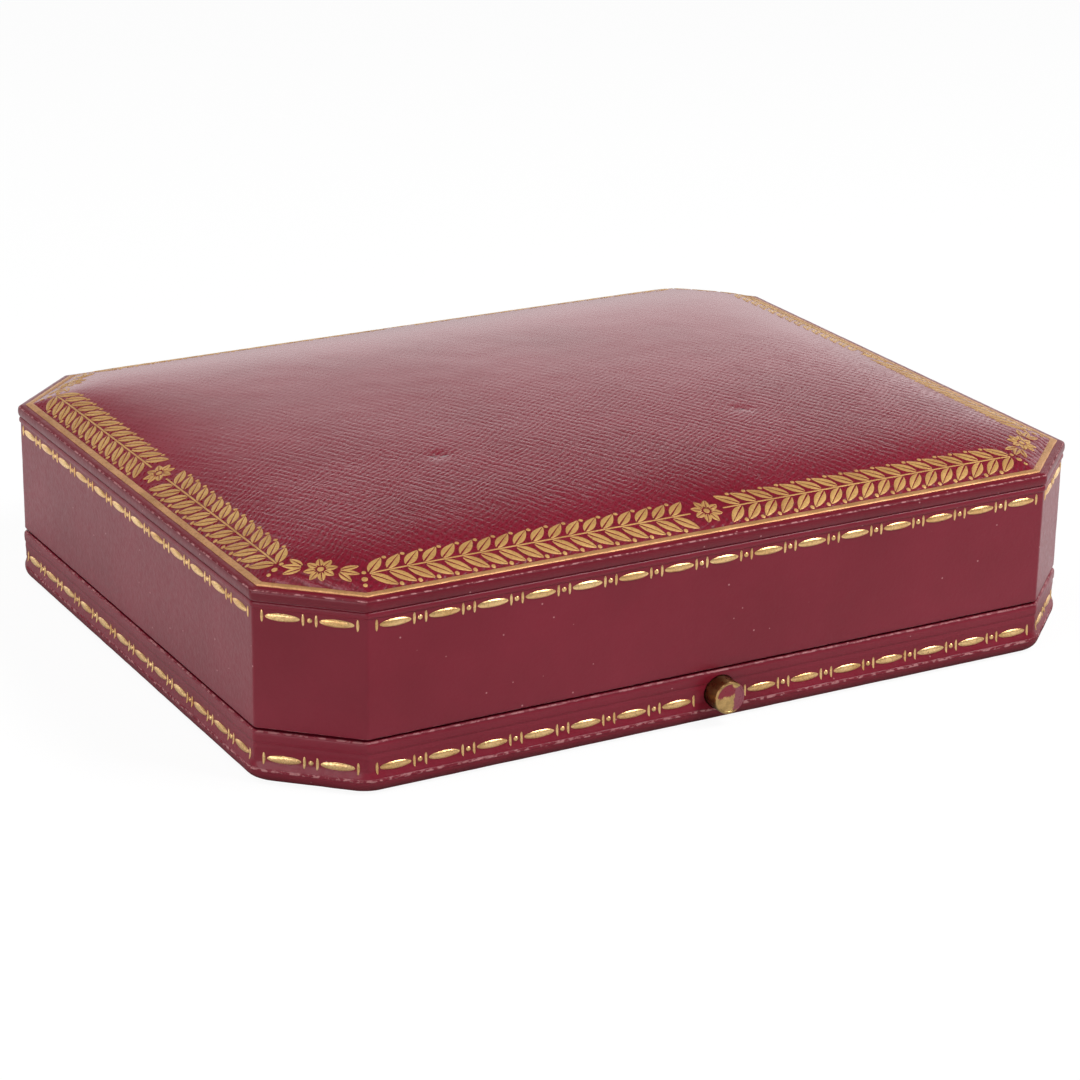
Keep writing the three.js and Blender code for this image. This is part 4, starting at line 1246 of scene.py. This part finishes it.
def fold_at(k, along, pitch, depth, length):
    """How deep the uneven folds beside side k are at a place."""
    return noise.noise(Vector((along / pitch, 10.0 * k, depth / length)))


def drawn_in(points):
    """An outline whose long sides are pulled in between their corners."""
    moved = []
    for x, y in points:
        k, away, along = nearest_side(x, y)
        share = min(1.0, abs(along) / (side_length(k, -away) / 2))
        bow = 0 if is_corner(k) else PAD_DRAW * math.cos(math.pi / 2 * share)
        moved.append(np.array([x, y]) - bow * unit(SIDES[k][1]))
    return moved


def pad_rings(inset, back, way, side, crown):
    """A closed pad with a flat back, rounded drawn-in sides and a crowned face."""
    rings = []
    for more, height in PAD_SIDE_SHARES:
        plan = drawn_in(outline(-inset - more * PAD_ROUND))
        rings.append(level(plan, back + way * height * side))
    insets = np.arange(PAD_ROUND + PAD_STEP, PAD_RINGS_INSET, PAD_STEP)
    plans = [drawn_in(outline(-inset - more)) for more in insets]
    inner = np.array(plans[-1])
    plans += [inner * scale for scale in np.linspace(1, PAD_LAST_SCALE, PAD_SCALE_STEPS)[1:]]
    start = edge_distance(0, half_width - inset - PAD_ROUND, inset)
    for plan in plans:
        ring = []
        for x, y in plan:
            rise = 1 - math.exp(-max(0.0, float(edge_distance(x, y, inset) - start)) / PAD_RISE)
            ring.append(np.array([x, y, back + way * (side + crown * rise)]))
        rings.append(ring)
    return rings


def positions(mesh):
    flat = np.empty(len(mesh.vertices) * 3, np.float32)
    mesh.vertices.foreach_get("co", flat)
    return flat.reshape(-1, 3).astype(float)


def place_points(piece, points):
    piece.data.vertices.foreach_set("co", points.astype(np.float32).ravel())
    piece.data.update()


def blown_up(piece, held):
    """Where a pad's cover comes to rest as simulated cloth when its filling pushes it out."""
    scene = bpy.context.scene
    group = piece.vertex_groups.new(name="held")
    group.add([int(i) for i in np.flatnonzero(held)], 1.0, "REPLACE")
    cloth = piece.modifiers.new("cloth", "CLOTH")
    cloth.settings.vertex_group_mass = group.name
    cloth.settings.mass = CLOTH_MASS
    cloth.settings.use_pressure = True
    cloth.settings.uniform_pressure_force = CLOTH_PRESSURE
    cloth.settings.effector_weights.gravity = 0
    cloth.point_cache.frame_start = 1
    cloth.point_cache.frame_end = CLOTH_FRAMES
    for number in range(1, CLOTH_FRAMES + 1):
        scene.frame_set(number)
    graph = bpy.context.evaluated_depsgraph_get()
    points = positions(piece.evaluated_get(graph).data)
    piece.modifiers.clear()
    piece.vertex_groups.clear()
    scene.frame_set(1)
    return points


def fill_pad(piece, back, way):
    """Puffs a pad up within its room and smooths it."""
    remesh = piece.modifiers.new("voxels", "REMESH")
    remesh.mode = "VOXEL"
    remesh.voxel_size = VOXEL * MM
    apply_modifiers(piece)
    start = positions(piece.data)
    held = way * (start[:, 2] - back * MM) < HELD_HEIGHT * MM
    move = (blown_up(piece, held) - start) / MM
    spread = np.linalg.norm(move[:, :2], axis=1, keepdims=True) + 1e-9
    move[:, :2] *= SPREAD_CAP * np.tanh(spread / SPREAD_CAP) / spread
    move[:, 2] = RISE_CAP * np.tanh(move[:, 2] / RISE_CAP)
    place_points(piece, start + move * MM)
    finer = piece.modifiers.new("smooth", "SUBSURF")
    finer.levels = 1
    apply_modifiers(piece)


def cut_catch_window(piece, room, low_z, high_z):
    """Room for the catch at the middle of the front."""
    start = (-CATCH_WINDOW / 2, -half_width, low_z)
    cut(piece, block(start, (CATCH_WINDOW / 2, -half_width + room, high_z)))


def make_velvet_pad():
    """The velvet pad, with a pressed channel round its middle."""
    low, high = mm_box("jewel_pad")
    back = low[2]
    shape = loft(pad_rings(PAD_INSET + PAD_SLACK, back, 1, PAD_SIDE, PAD_CROWN))
    piece = make_piece("velvet_pad", shape, "base", "velvet", ["jewel_pad"])
    cut_catch_window(piece, CATCH_ROOM, back - CUT_OVERRUN, high[2] + CUT_OVERRUN)
    fill_pad(piece, back, 1)
    points = positions(piece.data) / MM
    x, y, z = points.T
    away = edge_distance(x, y, PAD_INSET) - PAD_CHANNEL_PLACE
    on_face = np.clip((z - back) / PAD_SIDE - 0.5, 0, 0.5) * 2
    points[:, 2] -= PAD_CHANNEL * on_face * np.exp(-((away / PAD_CHANNEL_WIDTH) ** 2))
    place_points(piece, points * MM)
    dress(piece, "base", "velvet")


def make_satin_cushion():
    """The satin cushion in the lid, gathered along its edges."""
    back = mm_box("lid_cushion")[1][2]
    shape = loft(pad_rings(CUSHION_INSET + PAD_SLACK, back, -1, CUSHION_SIDE, CUSHION_CROWN))
    piece = make_piece("satin_cushion", shape, "lid", "satin", ["lid_cushion"])
    fill_pad(piece, back, -1)
    points = positions(piece.data) / MM
    for p in points:
        k, away, along = nearest_side(p[0], p[1])
        on_face = min(1.0, max(0.0, (back - p[2]) / CUSHION_SIDE - 0.4) * 2)
        fold = fold_at(k, along, CUSHION_GATHER_PITCH, away, CUSHION_GATHER_LENGTH)
        p[2] -= CUSHION_GATHER * on_face * fold * math.exp(-(away - CUSHION_INSET) / CUSHION_GATHER_REACH)
    place_points(piece, points * MM)
    dress(piece, "lid", "satin")


def make_wadding():
    """The wadding under the leather of the top."""
    back = mm_box("lid_dome_pad")[0][2]
    rings = [level(outline(-DOME_PAD_INSET), back)] + dome_rings(DOME_PAD_DROP, PAD_STEP, DOME_PAD_INSET)
    piece = make_piece("dome_wadding", loft(rings), "lid", "wadding", ["lid_dome_pad"])


def make_collar():
    """The collar in its velvet, open at the catch."""
    low, high = mm_box("base_collar")
    outer = high[0] - half_length
    inner = outer - COLLAR
    section = over_edge(outer, inner, high[2] - COLLAR_ROUND, COLLAR_ROUND, 1)
    shape = loft(band_rings([(outer, low[2])] + section + [(inner, low[2])]), True)
    piece = make_piece("collar_cover", shape, "base", "velvet", ["base_collar"])
    cut_catch_window(piece, COLLAR_ROOM, low[2] - CUT_OVERRUN, high[2] + CUT_OVERRUN)
    dress(piece, "base", "velvet")


def make_lining():
    """The satin lining of the lid's walls, gathered in small upright folds."""
    low, high = mm_box("lid_side_lining")
    outer = high[0] - half_length
    inner = outer - LINING_THICKNESS
    bottom = low[2] + LINING_ROUND
    start = low[2] + LINING_START
    section = [(outer, bottom)] + over_edge(outer, inner, bottom, LINING_ROUND, -1)
    section += [(inner, start + (high[2] - start) * i / LINING_STEPS) for i in range(LINING_STEPS + 1)]
    section += [(outer, high[2])]
    rings = band_rings(section)
    for (offset, _), ring in zip(section, rings):
        if offset > inner + LINING_ROUND / 2:
            continue
        for p in ring:
            k, _, along = nearest_side(p[0], p[1])
            fold = fold_at(k, along, LINING_FOLD_PITCH, p[2], LINING_FOLD_LENGTH)
            p[:2] += LINING_FOLD * min(1.0, max(0.0, 0.5 + fold)) * unit(SIDES[k][1])
    piece = make_piece("lining_cover", loft(rings, True), "lid", "satin", ["lid_side_lining"])
    start, end = mm_box("keeper_plate")
    cut(piece, block(start - KEEPER_GAP, end + KEEPER_GAP))
    dress(piece, "lid", "satin")


make_velvet_pad()
make_satin_cushion()
make_wadding()
make_collar()
make_lining()


# Stage, lights and camera

# How bright the floor's glow is in a reflection, with painted shade: at the front left, further back, and in
# the case's painted contact shadow
MIRRORED_FRONT = (-125, 0.58)
MIRRORED_BACK = (-50, 1.0)
MIRRORED_SLANT = 0.3
CONTACT_SHADE = 0.25
CONTACT_REACH = 16
FLOOR_REACH = 4000
FLOOR_TONES = ((0.8, 0.8, 0.8, 1), (0.82, 0.82, 0.82, 1))
FLOOR_SEEN = 1.03
GLOW_SHARE = 0.9

# The camera's place, the turn of its view from +Y towards +X, and its tilt downwards and roll
CAMERA_PLACE = (-260.0, -462.2, rim + 201.65)
CAMERA_TURN = math.radians(29.4036)
CAMERA_TILT = math.radians(20.6783)
CAMERA_ROLL = math.radians(0.9278)
CAMERA_LENS = 109.46
CAMERA_SENSOR = 36
CAMERA_SHIFT = (0.0023, 0.0004)
CAMERA_CLIP = (10, 20000)

# Brightness of the studio's walls: heights of a direction, and the light from there
WALL_LIGHT_UNIT = 3.0
BACK_WALL = [(0.0, 1.2), (0.14, 1.8), (0.22, 3.0), (0.32, 0.1), (0.45, 0.05), (1.0, 0.06)]
OTHER_WALLS = [(0.0, 0.25), (0.3, 0.1), (0.62, 0.15), (0.75, 0.06), (1.0, 0.06)]
BACK_WAY = (math.sin(CAMERA_TURN), math.cos(CAMERA_TURN), 0.0)
BACK_EDGE = (0.24, 0.72)

# Softboxes: name, place, size and power
LIGHT_TARGET = (0, 0, 20)
SOFTBOXES = [
    ("key", (400, -380, 620), (350, 350), 5.56),
    ("top", (-350, 100, 800), (400, 400), 2.72),
    ("left", (-1000, -350, 350), (600, 500), 3.7),
    ("fill", (-600, -900, 500), (800, 800), 0.8),
]


def mirrored_floor(s):
    """The floor's glow in a reflection, with painted shade at the front left and a painted contact shadow
    beside the case.
    """
    split = s.split(s.place)
    way = s.plus(s.times(split["X"], MIRRORED_SLANT), split["Y"])
    light = s.along(way, MIRRORED_FRONT, MIRRORED_BACK)
    beside_x = s.minus(s.math("ABSOLUTE", split["X"]), half_length * MM)
    beside_y = s.minus(s.math("ABSOLUTE", split["Y"]), half_width * MM)
    return s.times(light, s.along(s.most(beside_x, beside_y), (0, CONTACT_SHADE), (CONTACT_REACH, 1.0)))


def make_stage():
    """A pale matt floor, seen as white by the camera and glowing in reflections, with painted shade there."""
    s = Shader("floor")
    path = s.add("ShaderNodeLightPath").outputs
    seen = s.most(path["Is Glossy Ray"], path["Is Transmission Ray"], path["Is Camera Ray"])
    strength = s.most(s.times(path["Is Camera Ray"], FLOOR_SEEN), mirrored_floor(s))
    s.surface(Base_Color=s.mix(s.noise(60, 2.0), *FLOOR_TONES), Roughness=0.9, Specular_IOR_Level=0.0)
    glow = s.add("ShaderNodeEmission", {"Color": (1, 1, 1, 1), "Strength": strength}).outputs[0]
    share = s.times(seen, GLOW_SHARE)
    both = s.add("ShaderNodeMixShader", {0: share, 1: s.bsdf.outputs[0], 2: glow}).outputs[0]
    s.put(s.tree.nodes["Material Output"].inputs["Surface"], both)
    reach = FLOOR_REACH * MM
    corners = [(-reach, -reach, 0), (reach, -reach, 0), (reach, reach, 0), (-reach, reach, 0)]
    mesh = bpy.data.meshes.new("floor")
    mesh.from_pydata(corners, [], [(0, 1, 2, 3)])
    mesh.materials.append(s.material)
    floor = bpy.data.objects.new("floor", mesh)
    bpy.context.scene.collection.objects.link(floor)


def wall_ramp(nodes, height, stops):
    ramp = nodes.add("ShaderNodeValToRGB", {0: height})
    points = ramp.color_ramp.elements
    while len(points) < len(stops):
        points.new(0.5)
    for point, (place, light) in zip(points, stops):
        point.position = place
        point.color = (light / WALL_LIGHT_UNIT,) * 3 + (1,)
    return ramp.outputs[0]


def make_world():
    """A bright low wall behind the case and dim ones elsewhere; the camera sees white."""
    world = bpy.data.worlds.new("studio")
    bpy.context.scene.world = world
    world.use_nodes = True
    n = Nodes(world.node_tree)
    direction = n.add("ShaderNodeTexCoord").outputs["Generated"]
    height = n.split(direction)["Z"]
    towards = n.vectors("DOT_PRODUCT", {0: direction, 1: BACK_WAY}, "Value")
    back_wall = wall_ramp(n, height, BACK_WALL)
    walls = n.mix(n.between(towards, *BACK_EDGE), wall_ramp(n, height, OTHER_WALLS), back_wall)
    white = (1 / WALL_LIGHT_UNIT,) * 3 + (1,)
    seen = n.mix(n.add("ShaderNodeLightPath").outputs["Is Camera Ray"], walls, white)
    background = n.tree.nodes["Background"]
    n.put(background.inputs["Color"], seen)
    n.put(background.inputs["Strength"], WALL_LIGHT_UNIT)


def softbox(name, place, size, power):
    light = bpy.data.lights.new(name, "AREA")
    light.shape = "RECTANGLE"
    light.size, light.size_y = (side * MM for side in size)
    light.energy = power
    lamp = bpy.data.objects.new(name, light)
    lamp.location = Vector(place) * MM
    aim = Vector(LIGHT_TARGET) - Vector(place)
    lamp.rotation_mode = "QUATERNION"
    lamp.rotation_quaternion = aim.to_track_quat("-Z", "Y")
    bpy.context.scene.collection.objects.link(lamp)


def make_camera():
    data = bpy.data.cameras.new("camera")
    data.sensor_width = CAMERA_SENSOR
    data.lens = CAMERA_LENS
    data.shift_x, data.shift_y = CAMERA_SHIFT
    data.clip_start, data.clip_end = (reach * MM for reach in CAMERA_CLIP)
    camera = bpy.data.objects.new("camera", data)
    aim = Euler((math.pi / 2 - CAMERA_TILT, 0, -CAMERA_TURN)).to_matrix().to_4x4()
    roll = Matrix.Rotation(CAMERA_ROLL, 4, "Z")
    camera.matrix_world = Matrix.Translation(Vector(CAMERA_PLACE) * MM) @ aim @ roll
    bpy.context.scene.collection.objects.link(camera)
    bpy.context.scene.camera = camera


make_stage()
make_world()
for box in SOFTBOXES:
    softbox(*box)
make_camera()
bpy.context.scene.view_settings.view_transform = "Standard"
